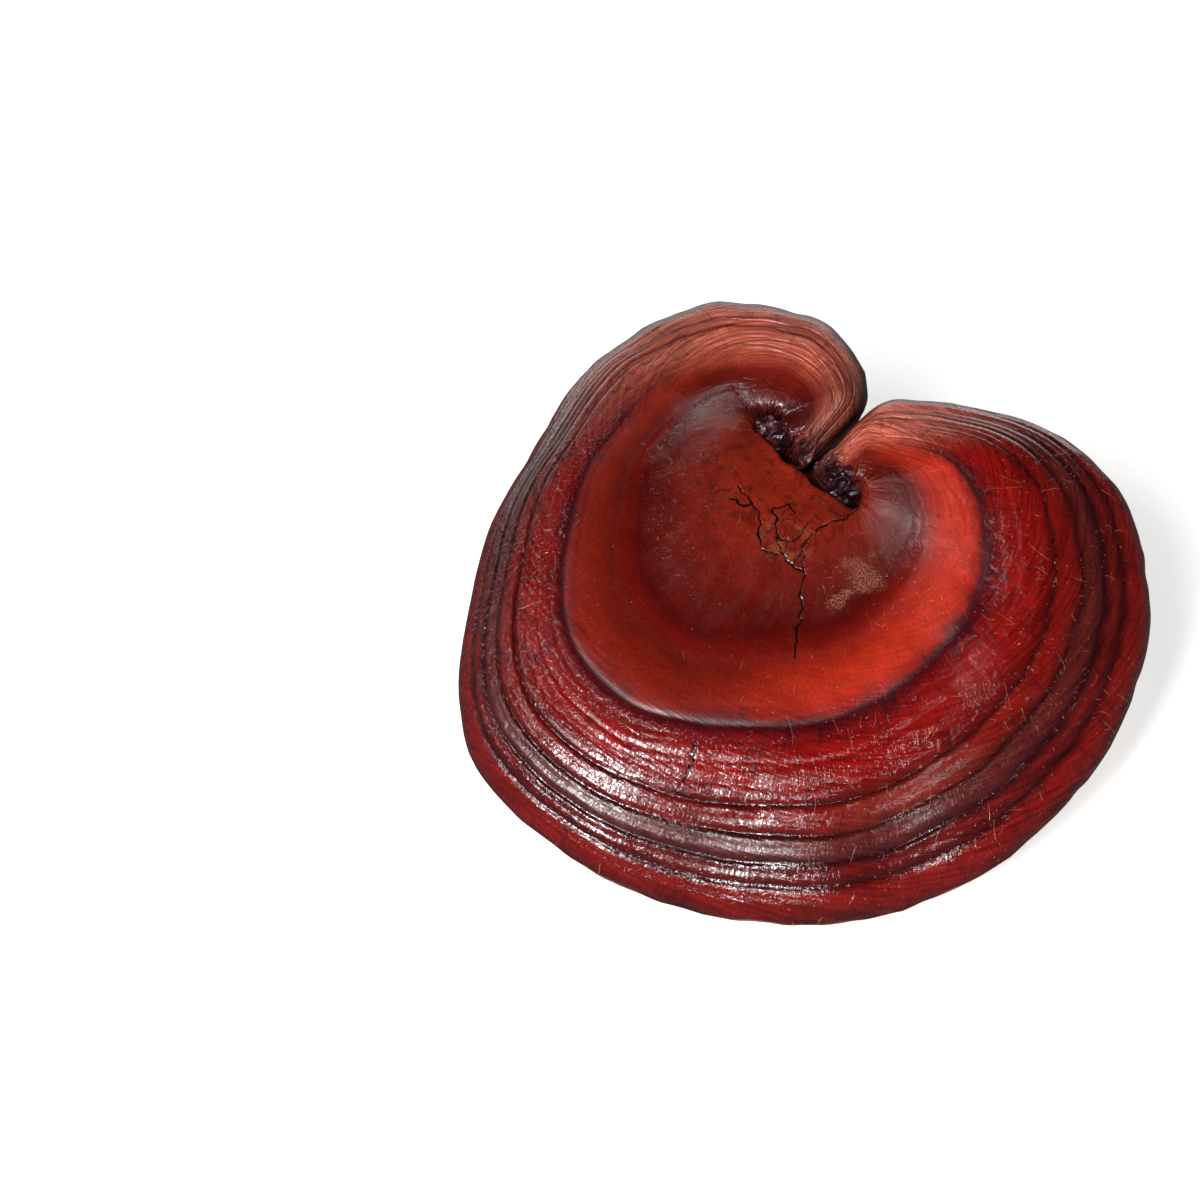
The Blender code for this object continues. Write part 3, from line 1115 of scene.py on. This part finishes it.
class SharedEffect:
    """A shader node group that is built once and placed in several materials."""

    name = "effect"
    inputs: tuple[tuple[str, float], ...] = ()
    output = "Mask"

    def tree(self) -> bpy.types.NodeTree:
        """Gives the group's tree, and builds it when it is first asked for.

        Returns:
            The tree.
        """
        found = bpy.data.node_groups.get(self.name)
        if found:
            return found
        tree = bpy.data.node_groups.new(self.name, "ShaderNodeTree")
        tree.interface.new_socket("Place", in_out="INPUT", socket_type="NodeSocketVector")
        for name, start in self.inputs:
            socket = tree.interface.new_socket(name, in_out="INPUT", socket_type="NodeSocketFloat")
            socket.default_value = start
        tree.interface.new_socket(self.output, in_out="OUTPUT", socket_type="NodeSocketFloat")
        graph = Graph(tree)
        enter = tree.nodes.new("NodeGroupInput")
        leave = tree.nodes.new("NodeGroupOutput")
        graph.feed(leave.inputs[0], self.lay_out(graph, enter.outputs))
        return tree

    def lay_out(self, graph: Graph, given: bpy.types.NodeOutputs) -> Socket:
        """Lays out the effect.

        Args:
            graph: the group's tree.
            given: its inputs by name.

        Returns:
            The output.
        """
        raise NotImplementedError

    def put(self, graph: Graph, place: Feed, **values: Feed) -> Socket:
        """Places the group in a material, where it follows a place and takes its other inputs by name."""
        return graph.add("Group", {"Place": place, **values}, node_tree=self.tree()).outputs[0]


class Wrinkles(SharedEffect):
    """Fine wrinkles that run along the second side of a place, as a height between -1 and 1."""

    name = "wrinkles"
    inputs = (("Across", 10.0), ("Along", 3.0))
    output = "Height"

    def lay_out(self, graph: Graph, given: bpy.types.NodeOutputs) -> Socket:
        """Parts stretched noise into plates by the narrow valleys where two more noises cross 0.5.

        Args:
            graph: the group's tree.
            given: its inputs by name.

        Returns:
            The height.
        """
        scale = graph.add("CombineXYZ", {"X": given["Across"], "Y": given["Along"]}).outputs[0]
        spread = graph.vector("MULTIPLY", given["Place"], scale)
        broad = graph.noise(spread, 0.8, detail=1.0, distortion=0.5)
        height = graph.plus(graph.times(broad, 1.4), -0.7)
        for size, depth in ((1.0, 0.6), (2.1, 0.3)):
            crossing = graph.noise(spread, size, detail=1.5, distortion=0.8)
            away = graph.math("ABSOLUTE", graph.plus(crossing, -0.5))
            height = graph.plus(height, graph.step(away, 0.0, 0.055, -depth, 0.0))
        return height


class Specks(SharedEffect):
    """Scattered short strokes or specks, such as lint, dust and scratches, as a mask."""

    name = "specks"
    inputs = (("Cells", 2.0), ("Length", 0.1), ("Width", 0.01), ("Turn", 3.2), ("Share", 0.3))

    def lay_out(self, graph: Graph, given: bpy.types.NodeOutputs) -> Socket:
        """Lays one turned and bent stroke, of its own length, in some cells of a Voronoi pattern.

        Args:
            graph: the group's tree.
            given: its inputs by name.

        Returns:
            The mask.
        """
        inputs = {"Vector": given["Place"], "Scale": given["Cells"]}
        cells = graph.add("TexVoronoi", inputs, voronoi_dimensions="2D").outputs
        chance = graph.sides(cells["Color"])
        offset = graph.vector("SUBTRACT", given["Place"], cells["Position"])
        angle = graph.times(graph.plus(chance["X"], -0.5), given["Turn"])
        turned = graph.add("VectorRotate", {"Vector": offset, "Angle": angle}, rotation_type="Z_AXIS")
        sides = graph.sides(turned.outputs[0])
        length = graph.times(given["Length"], graph.plus(0.35, chance["Z"]))
        along = graph.math("DIVIDE", sides["Y"], length)
        bow = graph.times(along, along, length, graph.plus(chance["Y"], -0.4), 0.7)
        across = graph.math("DIVIDE", graph.plus(sides["X"], bow), given["Width"])
        on_line = graph.step(graph.math("ABSOLUTE", across), 1.0, 0.2)
        on_stroke = graph.step(graph.math("ABSOLUTE", along), 1.0, 0.5)
        draw = graph.math("FRACT", graph.times(chance["Y"], 7.3))
        chosen = graph.math("LESS_THAN", draw, given["Share"])
        return graph.times(on_line, on_stroke, chosen)


class Mottle(SharedEffect):
    """Soft blotches that darken and lighten a surface, as a number round 1."""

    name = "mottle"
    inputs = (("Scale", 1.0), ("Depth", 0.3))
    output = "Gain"

    def lay_out(self, graph: Graph, given: bpy.types.NodeOutputs) -> Socket:
        """Spreads two sizes of noise about 1 by the depth.

        Args:
            graph: the group's tree.
            given: its inputs by name.

        Returns:
            The gain.
        """
        layers = []
        for finer, detail, strength in ((1.0, 3.0, 2.6), (5.3, 2.0, 1.2)):
            blotches = graph.noise(given["Place"], graph.times(given["Scale"], finer), detail)
            layers.append(graph.times(graph.plus(blotches, -0.5), strength))
        return graph.plus(graph.times(graph.plus(*layers), given["Depth"]), 1.0)


def begin_material(name: str) -> tuple[bpy.types.Material, Graph, bpy.types.Node]:
    """A new material.

    Args:
        name: its name.

    Returns:
        The material, a graph on its tree, and its Principled shader.
    """
    material = bpy.data.materials.new(name)
    material.use_nodes = True
    graph = Graph(material.node_tree)
    return material, graph, material.node_tree.nodes["Principled BSDF"]


# Finishes


# Colours by ring of the main face, with a painted highlight on the tongue's lip (rings 0 to 0.05) and
# painted shade on the hollow's floor (rings 0.29 to 0.36) over its own darker ring.
MAIN_RINGS_AND_SHADING: Stops = (
    (0.0, tint(158, 42, 24)), (0.05, tint(148, 40, 23)), (0.12, tint(132, 32, 19)),
    (0.22, tint(116, 26, 16)), (0.29, tint(96, 18, 12)), (0.36, tint(88, 12, 9)),
    (0.41, tint(124, 22, 14)), (0.46, tint(174, 36, 18)), (0.51, tint(200, 48, 22)),
    (0.565, tint(198, 44, 21)), (0.596, tint(156, 26, 19)), (0.610, tint(78, 12, 16)),
    (0.622, tint(78, 10, 16)), (0.645, tint(118, 16, 16)), (0.68, tint(136, 16, 12)),
    (0.74, tint(134, 17, 13)), (0.778, tint(108, 14, 12)), (0.79, tint(60, 8, 10)),
    (0.802, tint(126, 20, 14)), (0.838, tint(110, 20, 16)), (0.85, tint(52, 9, 12)),
    (0.866, tint(96, 28, 22)), (0.888, tint(84, 22, 22)), (0.902, tint(46, 10, 16)),
    (0.922, tint(108, 22, 20)), (0.943, tint(54, 10, 14)), (0.958, tint(122, 24, 20)),
    (0.985, tint(112, 16, 16)), (1.0, tint(76, 16, 16)),
)
# Colours by ring of the lobes; the pale pinkish-tan bands from ring 0.6 outwards are partly their own colour
# and partly painted sheen.
LOBE_RINGS_AND_SHEEN: Stops = (
    (0.0, tint(56, 10, 10)), (0.2, tint(92, 18, 12)), (0.4, tint(108, 26, 18)),
    (0.5, tint(126, 32, 24)), (0.6, tint(190, 80, 60)), (0.72, tint(218, 110, 86)),
    (0.79, tint(208, 100, 76)), (0.81, tint(106, 34, 29)), (0.825, tint(210, 102, 78)),
    (0.85, tint(196, 90, 70)), (0.862, tint(114, 40, 33)), (0.88, tint(214, 113, 90)),
    (0.93, tint(196, 97, 77)), (0.96, tint(126, 50, 42)), (0.985, tint(66, 24, 24)),
    (1.0, tint(44, 15, 17)),
)


class CapMarks:
    """What the cap's mesh stores, and the masks of its marks, as one shader tree reads them.

    A zone is a stretch of rings: its low end, its high end and how soft both are. Places in plan
    and along the sweep are in centimetres.
    """

    PLATEAU = (0.42, 0.60, 0.03)
    SATIN = (0.42, 0.622, 0.02)
    SMEARED = (0.585, 0.665, 0.03)
    DUSTY = (0.80, 0.84, 0.03)
    DULL = (0.855, 0.897, 0.006)
    CRAZED_MIDDLE = (-0.5, -2.3, 0.0)
    RUBBED_PATCHES = (((1.15, -3.1, 0.0), 0.55), ((0.5, -3.7, 0.0), 0.3))

    def __init__(self, graph: Graph) -> None:
        """Reads the mesh and lays out the masks.

        Args:
            graph: the material's tree.
        """
        self.graph = graph
        self.ring = graph.number("ring")
        self.main = graph.number("main")
        self.curl = graph.number("curl")
        self.sweep = graph.place("sweep")
        self.plan = graph.place("plan")
        self.plan_x = graph.sides(self.plan)["X"]
        self.pores = graph.step(graph.number("pores"), 0.45, 0.55)
        self.cracked = graph.step(graph.number("crack"), 0.0, 0.4)
        self.east = graph.step(self.plan_x, -2.6, 0.8)
        self.inner = graph.step(self.ring, 0.46, 0.36)
        self.outer = graph.step(self.ring, 0.45, 0.75)
        self.shoulder = graph.times(graph.step(self.ring, 0.60, 0.67), self.main)
        drift = graph.plus(self.swept(0.9, 2.4), -0.5)
        self.bands = graph.plus(self.ring, graph.times(drift, 0.022))
        self.lines = self.swept(0.35, 13.0, distortion=0.2)
        self.scuff = self.swept(2.2, 0.9, detail=5.0, distortion=0.4)
        self.dots = graph.noise(self.plan, 28.0, detail=1.0)
        self.crazed, self.islands = self.crazing()
        self.rubbed = self.rubbing()
        self.lint = self.scatter_lint()

    def swept(
        self, across: float, along: float, scale: float = 1.0, detail: float = 3.0, distortion: float = 0.0
    ) -> Socket:
        """Noise that is stretched along the sweep of the cap, with so many cells each way."""
        return self.graph.noise(self.stretched(across, along), scale, detail, distortion)

    def stretched(self, across: float, along: float) -> Socket:
        """Places along the sweep, with each side scaled."""
        return self.graph.vector("MULTIPLY", self.sweep, (across, along, 1))

    def zone(self, low: float, high: float, soft: float) -> Socket:
        """A zone of the main face."""
        return self.graph.times(self.graph.band(self.ring, low, high, soft), self.main)

    def crazing(self) -> tuple[Socket, Socket]:
        """The crazed lacquer of the tongue.

        Returns:
            Masks of its hairline cracks and of its pale islands.
        """
        graph, plan = self.graph, self.plan
        wobble = graph.add("TexNoise", {"Vector": plan, "Scale": 4.0}).outputs["Color"]
        bent = graph.vector("ADD", plan, graph.vector("MULTIPLY", wobble, (0.25, 0.25, 0)))
        cells = graph.add(
            "TexVoronoi", {"Vector": bent, "Scale": 3.4}, voronoi_dimensions="2D", feature="DISTANCE_TO_EDGE"
        )
        away = graph.plus(graph.distance(plan, self.CRAZED_MIDDLE), graph.times(graph.noise(plan, 1.6), 0.9))
        region = graph.step(away, 1.35, 0.7)
        hairs = graph.times(graph.step(cells.outputs["Distance"], 0.05, 0.012), region)
        tinted = graph.step(graph.noise(plan, 2.6, detail=4.0, distortion=0.6), 0.5, 0.62)
        return hairs, graph.times(tinted, region)

    def rubbing(self) -> Socket:
        """Where the lacquer is rubbed pale: a patch beside the tongue and a dusty slope in front.

        Returns:
            Their mask.
        """
        graph, plan = self.graph, self.plan
        ragged = graph.times(graph.plus(graph.noise(plan, 2.2, detail=4.0), -0.5), 1.6)
        patches = [
            graph.step(graph.plus(graph.distance(plan, middle), ragged), radius, 0.2 * radius)
            for middle, radius in self.RUBBED_PATCHES
        ]
        fine = graph.noise(graph.vector("MULTIPLY", plan, (1.8, 1.0, 1)), 20.0, detail=5.0)
        patch = graph.times(graph.plus(*patches), graph.step(fine, 0.4, 0.62))
        slope = graph.times(graph.band(self.ring, *self.DUSTY), graph.band(self.plan_x, 0.6, 3.4, 0.9))
        dust = graph.step(graph.noise(plan, 40.0, detail=3.0), 0.48, 0.62)
        return graph.math("MINIMUM", graph.plus(patch, graph.times(slope, dust, 0.6)), 1.0)

    def scatter_lint(self) -> Socket:
        """Short pale lint strokes and dust specks, gathered in places on the right-hand side.

        Returns:
            Their mask.
        """
        graph = self.graph
        gathered = graph.step(graph.noise(self.plan, 0.6), 0.42, 0.62)
        share = graph.times(gathered, graph.plus(0.08, graph.times(self.east, 0.42)))
        fewer = graph.times(share, 0.6)
        strokes = Specks().put(graph, self.sweep, Cells=1.5, Length=0.3, Width=0.009, Turn=1.2, Share=share)
        curls = Specks().put(graph, self.plan, Cells=2.1, Length=0.13, Width=0.008, Turn=6.2, Share=fewer)
        specks = Specks().put(graph, self.plan, Cells=5.5, Length=0.016, Width=0.015, Turn=6.2, Share=share)
        return graph.math("MAXIMUM", graph.math("MAXIMUM", strokes, graph.times(curls, 0.7)), specks)


@dataclass(frozen=True)
class CapSkin:
    """The cap's finish: ringed glossy lacquer above and over the rim, matt pores below."""

    depth: float = 0.67
    darkest: float = 0.12
    roughness: float = 0.15
    least_roughness: float = 0.09
    ior: float = 1.54
    purple: Colour = tint(58, 12, 22)
    vein: Colour = tint(58, 14, 10)
    # painted shade in the cracks, near black
    island: Colour = tint(166, 88, 50)
    painted_crack_shade: Colour = tint(20, 5, 6)
    flesh: Colour = tint(198, 120, 76)
    dust: Colour = tint(222, 160, 120)
    crust: Colour = tint(34, 7, 12)
    crust_ridge: Colour = tint(120, 42, 38)
    pore: Colour = tint(172, 130, 90)
    pore_dark: Colour = tint(120, 76, 48)

    def material(self) -> bpy.types.Material:
        """Builds the material from the mesh's stored rings and places.

        Returns:
            The material.
        """
        material, graph, shader = begin_material("reishi_lacquer")
        marks = CapMarks(graph)
        graph.feed(shader.inputs["Base Color"], graph.scaled(self.colour(graph, marks), self.depth))
        graph.feed(shader.inputs["Roughness"], self.rough(graph, marks))
        graph.raise_by(shader, self.height(graph, marks))
        shader.inputs["IOR"].default_value = self.ior
        return material

    def gain(self, graph: Graph, marks: CapMarks) -> Socket:
        """How much the rings' colours are lightened or darkened from place to place, with painted shade on
        the left side and painted light on the right.

        Args:
            graph: the material's tree.
            marks: the cap's marks.

        Returns:
            A number round 1.
        """
        outer, main, east = marks.outer, marks.main, marks.east
        lined = graph.plus(graph.times(outer, 0.42), graph.times(outer, main, -0.2), 0.04)
        gain = graph.times(
            graph.plus(1.0, graph.times(graph.step(marks.lines, 0.34, 0.66, -1.0, 1.0), lined)),
            Mottle().put(graph, marks.stretched(1.0, 1.7), Scale=1.1, Depth=0.3),
            graph.step(marks.swept(1.6, 1.0, scale=11.0), 0.3, 0.7, 0.8, 1.2),
            # painted shade: the plateau darker towards the west
            graph.plus(1.0, graph.times(marks.zone(*marks.PLATEAU), graph.plus(east, -1.0), 0.55)),
            # painted shade by the left scroll and flank, painted light at the right
            graph.number("painted_shading"),
            # painted light: the shoulder paler towards the east
            graph.plus(1.0, graph.times(marks.shoulder, east, 0.1)),
        )
        return graph.math("MAXIMUM", gain, self.darkest)

    def colour(self, graph: Graph, marks: CapMarks) -> Socket:
        """The ringed lacquer, with painted shade and light and its marks laid over it one by one.

        Args:
            graph: the material's tree.
            marks: the cap's marks.

        Returns:
            The colour.
        """
        # ring colours with painted sheen on the lobes, and a painted highlight and painted shade on the main
        # face
        lobes, front = (graph.ramp(marks.bands, stops) for stops in (LOBE_RINGS_AND_SHEEN, MAIN_RINGS_AND_SHADING))
        rings = graph.mix(marks.main, lobes, front)
        colour = graph.scaled(rings, self.gain(graph, marks))
        smear = graph.times(
            graph.step(marks.scuff, 0.5, 0.66), graph.band(marks.bands, *marks.SMEARED), marks.main
        )
        streaks = graph.step(marks.swept(4.6, 1.0, detail=4.0, distortion=0.5), 0.54, 0.7)
        streaked = graph.times(streaks, graph.step(marks.ring, 0.62, 0.7))
        tongue = graph.times(graph.step(marks.ring, 0.36, 0.1), marks.main)
        veins = graph.step(graph.noise(marks.plan, 3.0, detail=7.0, distortion=1.2), 0.5, 0.36)
        # painted shade: the crust darker down in the valleys of the curl's folds, paler on their ridges
        crust = graph.mix(graph.step(graph.number("folds"), -0.3, 0.9), self.crust, self.crust_ridge)
        pores = graph.mix(marks.swept(0.5, 2.0), self.pore_dark, self.pore)
        pores = graph.scaled(pores, graph.step(marks.dots, 0.3, 0.6, 0.72, 1.05))
        for mask, over in (
            (graph.times(smear, 0.8), self.purple),
            (graph.times(streaked, 0.5), self.purple),
            (graph.times(veins, tongue, 0.5), self.vein),
            (graph.times(marks.islands, 0.5), self.island),
            (graph.times(marks.crazed, 0.75), self.vein),
            (graph.times(marks.curl, 0.9), crust),
            # painted shade filling the cracks
            (marks.cracked, self.painted_crack_shade),
            (graph.times(marks.rubbed, 0.42), self.flesh),
            (graph.times(marks.lint, 0.5), self.dust),
            (marks.pores, pores),
        ):
            colour = graph.mix(mask, colour, over)
        return colour

    def rough(self, graph: Graph, marks: CapMarks) -> Socket:
        """How rough the lacquer is: satin on the plateau and the lobes, duller where it is rubbed.

        Args:
            graph: the material's tree.
            marks: the cap's marks.

        Returns:
            The roughness.
        """
        shoulder, inner, main = marks.shoulder, marks.inner, marks.main
        banded = graph.times(graph.step(marks.ring, 0.5, 0.7), graph.plus(1.0, graph.times(main, -1.0)))
        scuffed = graph.plus(0.16, graph.times(shoulder, -0.08), graph.times(inner, 0.24))
        rough = graph.plus(
            self.roughness,
            graph.times(shoulder, -0.03),
            graph.times(banded, 0.24),
            graph.times(graph.plus(marks.scuff, -0.5), scuffed),
            graph.times(marks.rubbed, 0.3),
            graph.times(marks.pores, 0.4),
            graph.times(marks.zone(*marks.DULL), 0.16),
            graph.times(marks.zone(*marks.SATIN), 0.22),
            graph.times(inner, main, 0.06),
        )
        return graph.math("MAXIMUM", rough, self.least_roughness)

    def height(self, graph: Graph, marks: CapMarks) -> Socket:
        """The wrinkles, ring lines and pores that are too fine for the mesh.

        Args:
            graph: the material's tree.
            marks: the cap's marks.

        Returns:
            Their height in millimetres.
        """
        wrinkled = graph.times(marks.shoulder, graph.plus(0.058, graph.times(marks.east, -0.048)))
        wrinkled = graph.plus(0.012, wrinkled, graph.times(marks.inner, 0.015))
        lined = graph.plus(0.24, graph.times(marks.main, -0.12))
        raised = graph.plus(
            graph.times(Wrinkles().put(graph, marks.sweep, Across=9.5, Along=4.4), wrinkled),
            graph.times(graph.plus(marks.lines, -0.5), marks.outer, lined),
            graph.times(marks.crazed, -0.1),
            graph.times(marks.lint, 0.03),
            graph.times(marks.rubbed, -0.03),
        )
        sunk = graph.times(graph.step(marks.dots, 0.35, 0.55, -0.12, 0.0), marks.pores)
        return graph.plus(graph.times(raised, graph.plus(1.0, graph.times(marks.pores, -0.8))), sunk)


@dataclass(frozen=True)
class KnobSkin:
    """The finish of the curled scroll knobs: purple-black crust with paler veins."""

    dark: Colour = tint(30, 5, 12)
    light: Colour = tint(84, 30, 34)

    def material(self) -> bpy.types.Material:
        """Builds the material from the piece's place.

        Returns:
            The material.
        """
        material, graph, shader = begin_material("reishi_curl")
        place = graph.object_place()
        veins = graph.step(graph.noise(place, 260.0, detail=4.0, distortion=1.2), 0.5, 0.68)
        colour = graph.mix(veins, self.dark, self.light)
        colour = graph.scaled(colour, Mottle().put(graph, place, Scale=160.0, Depth=0.3))
        graph.feed(shader.inputs["Base Color"], colour)
        graph.feed(shader.inputs["Roughness"], graph.step(veins, 0.0, 1.0, 0.28, 0.45))
        graph.raise_by(shader, graph.times(Wrinkles().put(graph, place, Across=700.0, Along=700.0), 0.05))
        return material


@dataclass(frozen=True)
class StemSkin:
    """The stem's finish: dark red-brown lacquer, wrinkled lengthwise, with some lint."""

    dark: Colour = tint(44, 12, 12)
    warm: Colour = tint(104, 32, 18)
    lint: Colour = tint(200, 160, 130)

    def material(self, lean: float) -> bpy.types.Material:
        """Builds the material.

        Args:
            lean: how far the stem leans, in radians.

        Returns:
            The material.
        """
        material, graph, shader = begin_material("reishi_stem_lacquer")
        inputs = {"Vector": graph.object_place(), "Rotation": (-lean, 0, 0)}
        turned = graph.add("Mapping", inputs).outputs[0]
        grain = graph.vector("MULTIPLY", turned, (1.0, 1.0, 0.22))
        streaks = graph.noise(grain, 260.0, detail=4.0, distortion=0.3)
        colour = graph.mix(graph.step(streaks, 0.36, 0.66), self.dark, self.warm)
        colour = graph.scaled(colour, Mottle().put(graph, grain, Scale=70.0, Depth=0.35))
        centimetres = graph.vector("MULTIPLY", turned, (100, 100, 100))
        lint = Specks().put(graph, centimetres, Cells=2.0, Length=0.1, Width=0.02, Share=0.3)
        colour = graph.mix(graph.times(lint, 0.4), colour, self.lint)
        graph.feed(shader.inputs["Base Color"], colour)
        graph.feed(shader.inputs["Roughness"], graph.step(streaks, 0.3, 0.7, 0.26, 0.48))
        graph.raise_by(shader, graph.times(graph.plus(streaks, -0.5), 0.6))
        return material


@dataclass(frozen=True)
class CutFlesh:
    """The pale corky flesh of the stem's cut foot."""

    pale: Colour = tint(190, 146, 102)
    brown: Colour = tint(112, 66, 38)
    roughness: float = 0.85

    def material(self) -> bpy.types.Material:
        """Builds the material from the piece's place.

        Returns:
            The material.
        """
        material, graph, shader = begin_material("reishi_cut_flesh")
        place = graph.object_place()
        stretched = graph.vector("MULTIPLY", place, (1.0, 2.2, 1.0))
        fibres = graph.noise(stretched, 700.0, detail=5.0, distortion=0.5)
        colour = graph.mix(graph.step(fibres, 0.35, 0.65), self.brown, self.pale)
        colour = graph.scaled(colour, Mottle().put(graph, place, Scale=160.0, Depth=0.25))
        graph.feed(shader.inputs["Base Color"], colour)
        shader.inputs["Roughness"].default_value = self.roughness
        graph.raise_by(shader, graph.times(fibres, 0.25))
        return material


# Studio


@dataclass(frozen=True)
class Softbox:
    """A soft rectangular light that faces the mushroom."""

    name: str
    place: tuple[float, float, float]
    size: Span
    power: float

    def build(self) -> None:
        """Hangs the light."""
        bpy.ops.object.light_add(type="AREA", location=self.place)
        light = bpy.context.object
        light.name = self.name
        light.rotation_euler = (-Vector(self.place)).to_track_quat("-Z", "Y").to_euler()
        light.data.shape = "RECTANGLE"
        light.data.size, light.data.size_y = self.size
        light.data.energy = self.power
        light.visible_camera = False


@dataclass(frozen=True)
class Surroundings:
    """A white room: its walls are seen bright, but light the mushroom only faintly from near the floor."""

    walls: float = 0.12
    ceiling: float = 0.008
    seen: float = 0.9
    walls_end: float = 0.1
    ceiling_begins: float = 0.6

    def build(self) -> bpy.types.World:
        """Builds the world.

        Returns:
            The world.
        """
        world = bpy.data.worlds.new("white_room")
        world.use_nodes = True
        graph = Graph(world.node_tree)
        up = graph.sides(graph.add("TexCoord", {}).outputs["Generated"])["Z"]
        light = graph.step(up, self.walls_end, self.ceiling_begins, self.walls, self.ceiling)
        seen = graph.times(graph.add("LightPath", {}).outputs["Is Camera Ray"], self.seen)
        background = world.node_tree.nodes["Background"]
        graph.feed(background.inputs["Strength"], graph.plus(light, seen))
        background.inputs["Color"].default_value = (1, 1, 1, 1)
        return world


@dataclass(frozen=True)
class Studio:
    """The pale floor, the soft lights and the camera at the photograph's angle."""

    camera_place: tuple[float, float, float] = (-0.0452, -0.4984, 0.4260)
    camera_pitch: float = math.radians(52)
    lens: float = 85.0
    nearest_seen: float = 0.01
    floor_size: float = 12.0
    floor_glow: float = 0.68
    floor_roughness: float = 0.9
    floor_sheen: float = 0.2
    paper_warm: Colour = tint(226, 223, 219)
    paper_pale: Colour = tint(232, 230, 227)
    softboxes: tuple[Softbox, ...] = (
        Softbox("front_softbox", (-0.29, -0.69, 0.60), (0.17, 0.30), 12.8),
        Softbox("back_softbox", (-0.15, 1.05, 0.27), (2.0, 0.46), 6.5),
    )

    def build(self) -> None:
        """Sets up the floor, the lights, the surroundings and the camera."""
        bpy.ops.object.select_all(action="DESELECT")
        bpy.ops.mesh.primitive_plane_add(size=self.floor_size)
        floor = bpy.context.object
        floor.name = "floor"
        floor.data.materials.append(self.paper())
        floor.visible_glossy = False
        for softbox in self.softboxes:
            softbox.build()
        bpy.context.scene.world = Surroundings().build()
        bpy.context.scene.view_settings.view_transform = "Standard"
        bpy.ops.object.camera_add(location=self.camera_place, rotation=(self.camera_pitch, 0, 0))
        camera = bpy.context.object
        camera.data.lens = self.lens
        camera.data.clip_start = self.nearest_seen
        bpy.context.scene.camera = camera

    def paper(self) -> bpy.types.Material:
        """White seamless paper on a light table, very slightly uneven.

        Returns:
            The material.
        """
        material, graph, shader = begin_material("white_paper")
        haze = graph.noise(graph.object_place(), 3.0)
        graph.feed(shader.inputs["Base Color"], graph.mix(haze, self.paper_warm, self.paper_pale))
        shader.inputs["Roughness"].default_value = self.floor_roughness
        shader.inputs["Specular IOR Level"].default_value = self.floor_sheen
        shader.inputs["Emission Color"].default_value = (1, 1, 1, 1)
        shader.inputs["Emission Strength"].default_value = self.floor_glow
        return material


def finish_piece(piece: bpy.types.Object, node: str | None) -> None:
    """Puts a finished piece on the body, and reports it.

    Args:
        piece: the finished piece.
        node: the CAD node that it stands for, if any.
    """
    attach(piece, "root")
    if node:
        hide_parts(node)
    faces = len(piece.data.polygons)
    log.info("%s: %d faces, %s", piece.name, faces, "stands for " + node if node else "detail")


def main() -> None:
    """Builds the mushroom, dresses it and sets up the studio."""
    logging.basicConfig(level=logging.INFO, format="%(message)s")
    form = CapForm()
    cap = Cap(form, CapRelief())
    stand = cap.stand()
    piece = cap.build(stand)
    cap.dress(piece)
    finish_piece(piece, "cap")

    crust = KnobSkin().material()
    for knob in (
        ScrollKnob("left_curl", (-8.0, 5.4, 2.6), (4.6, 4.0, 4.4), 3.1),
        ScrollKnob("right_curl", (8.8, -6.6, 2.6), (5.4, 4.6, 5.0), 7.7),
    ):
        piece = knob.build(stand)
        knob.dress(piece, crust)
        finish_piece(piece, None)

    stem = Stem(form)
    piece = stem.build(stand)
    stem.dress(piece)
    finish_piece(piece, "stem")

    Studio().build()
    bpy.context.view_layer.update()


if __name__ == "__main__":
    main()
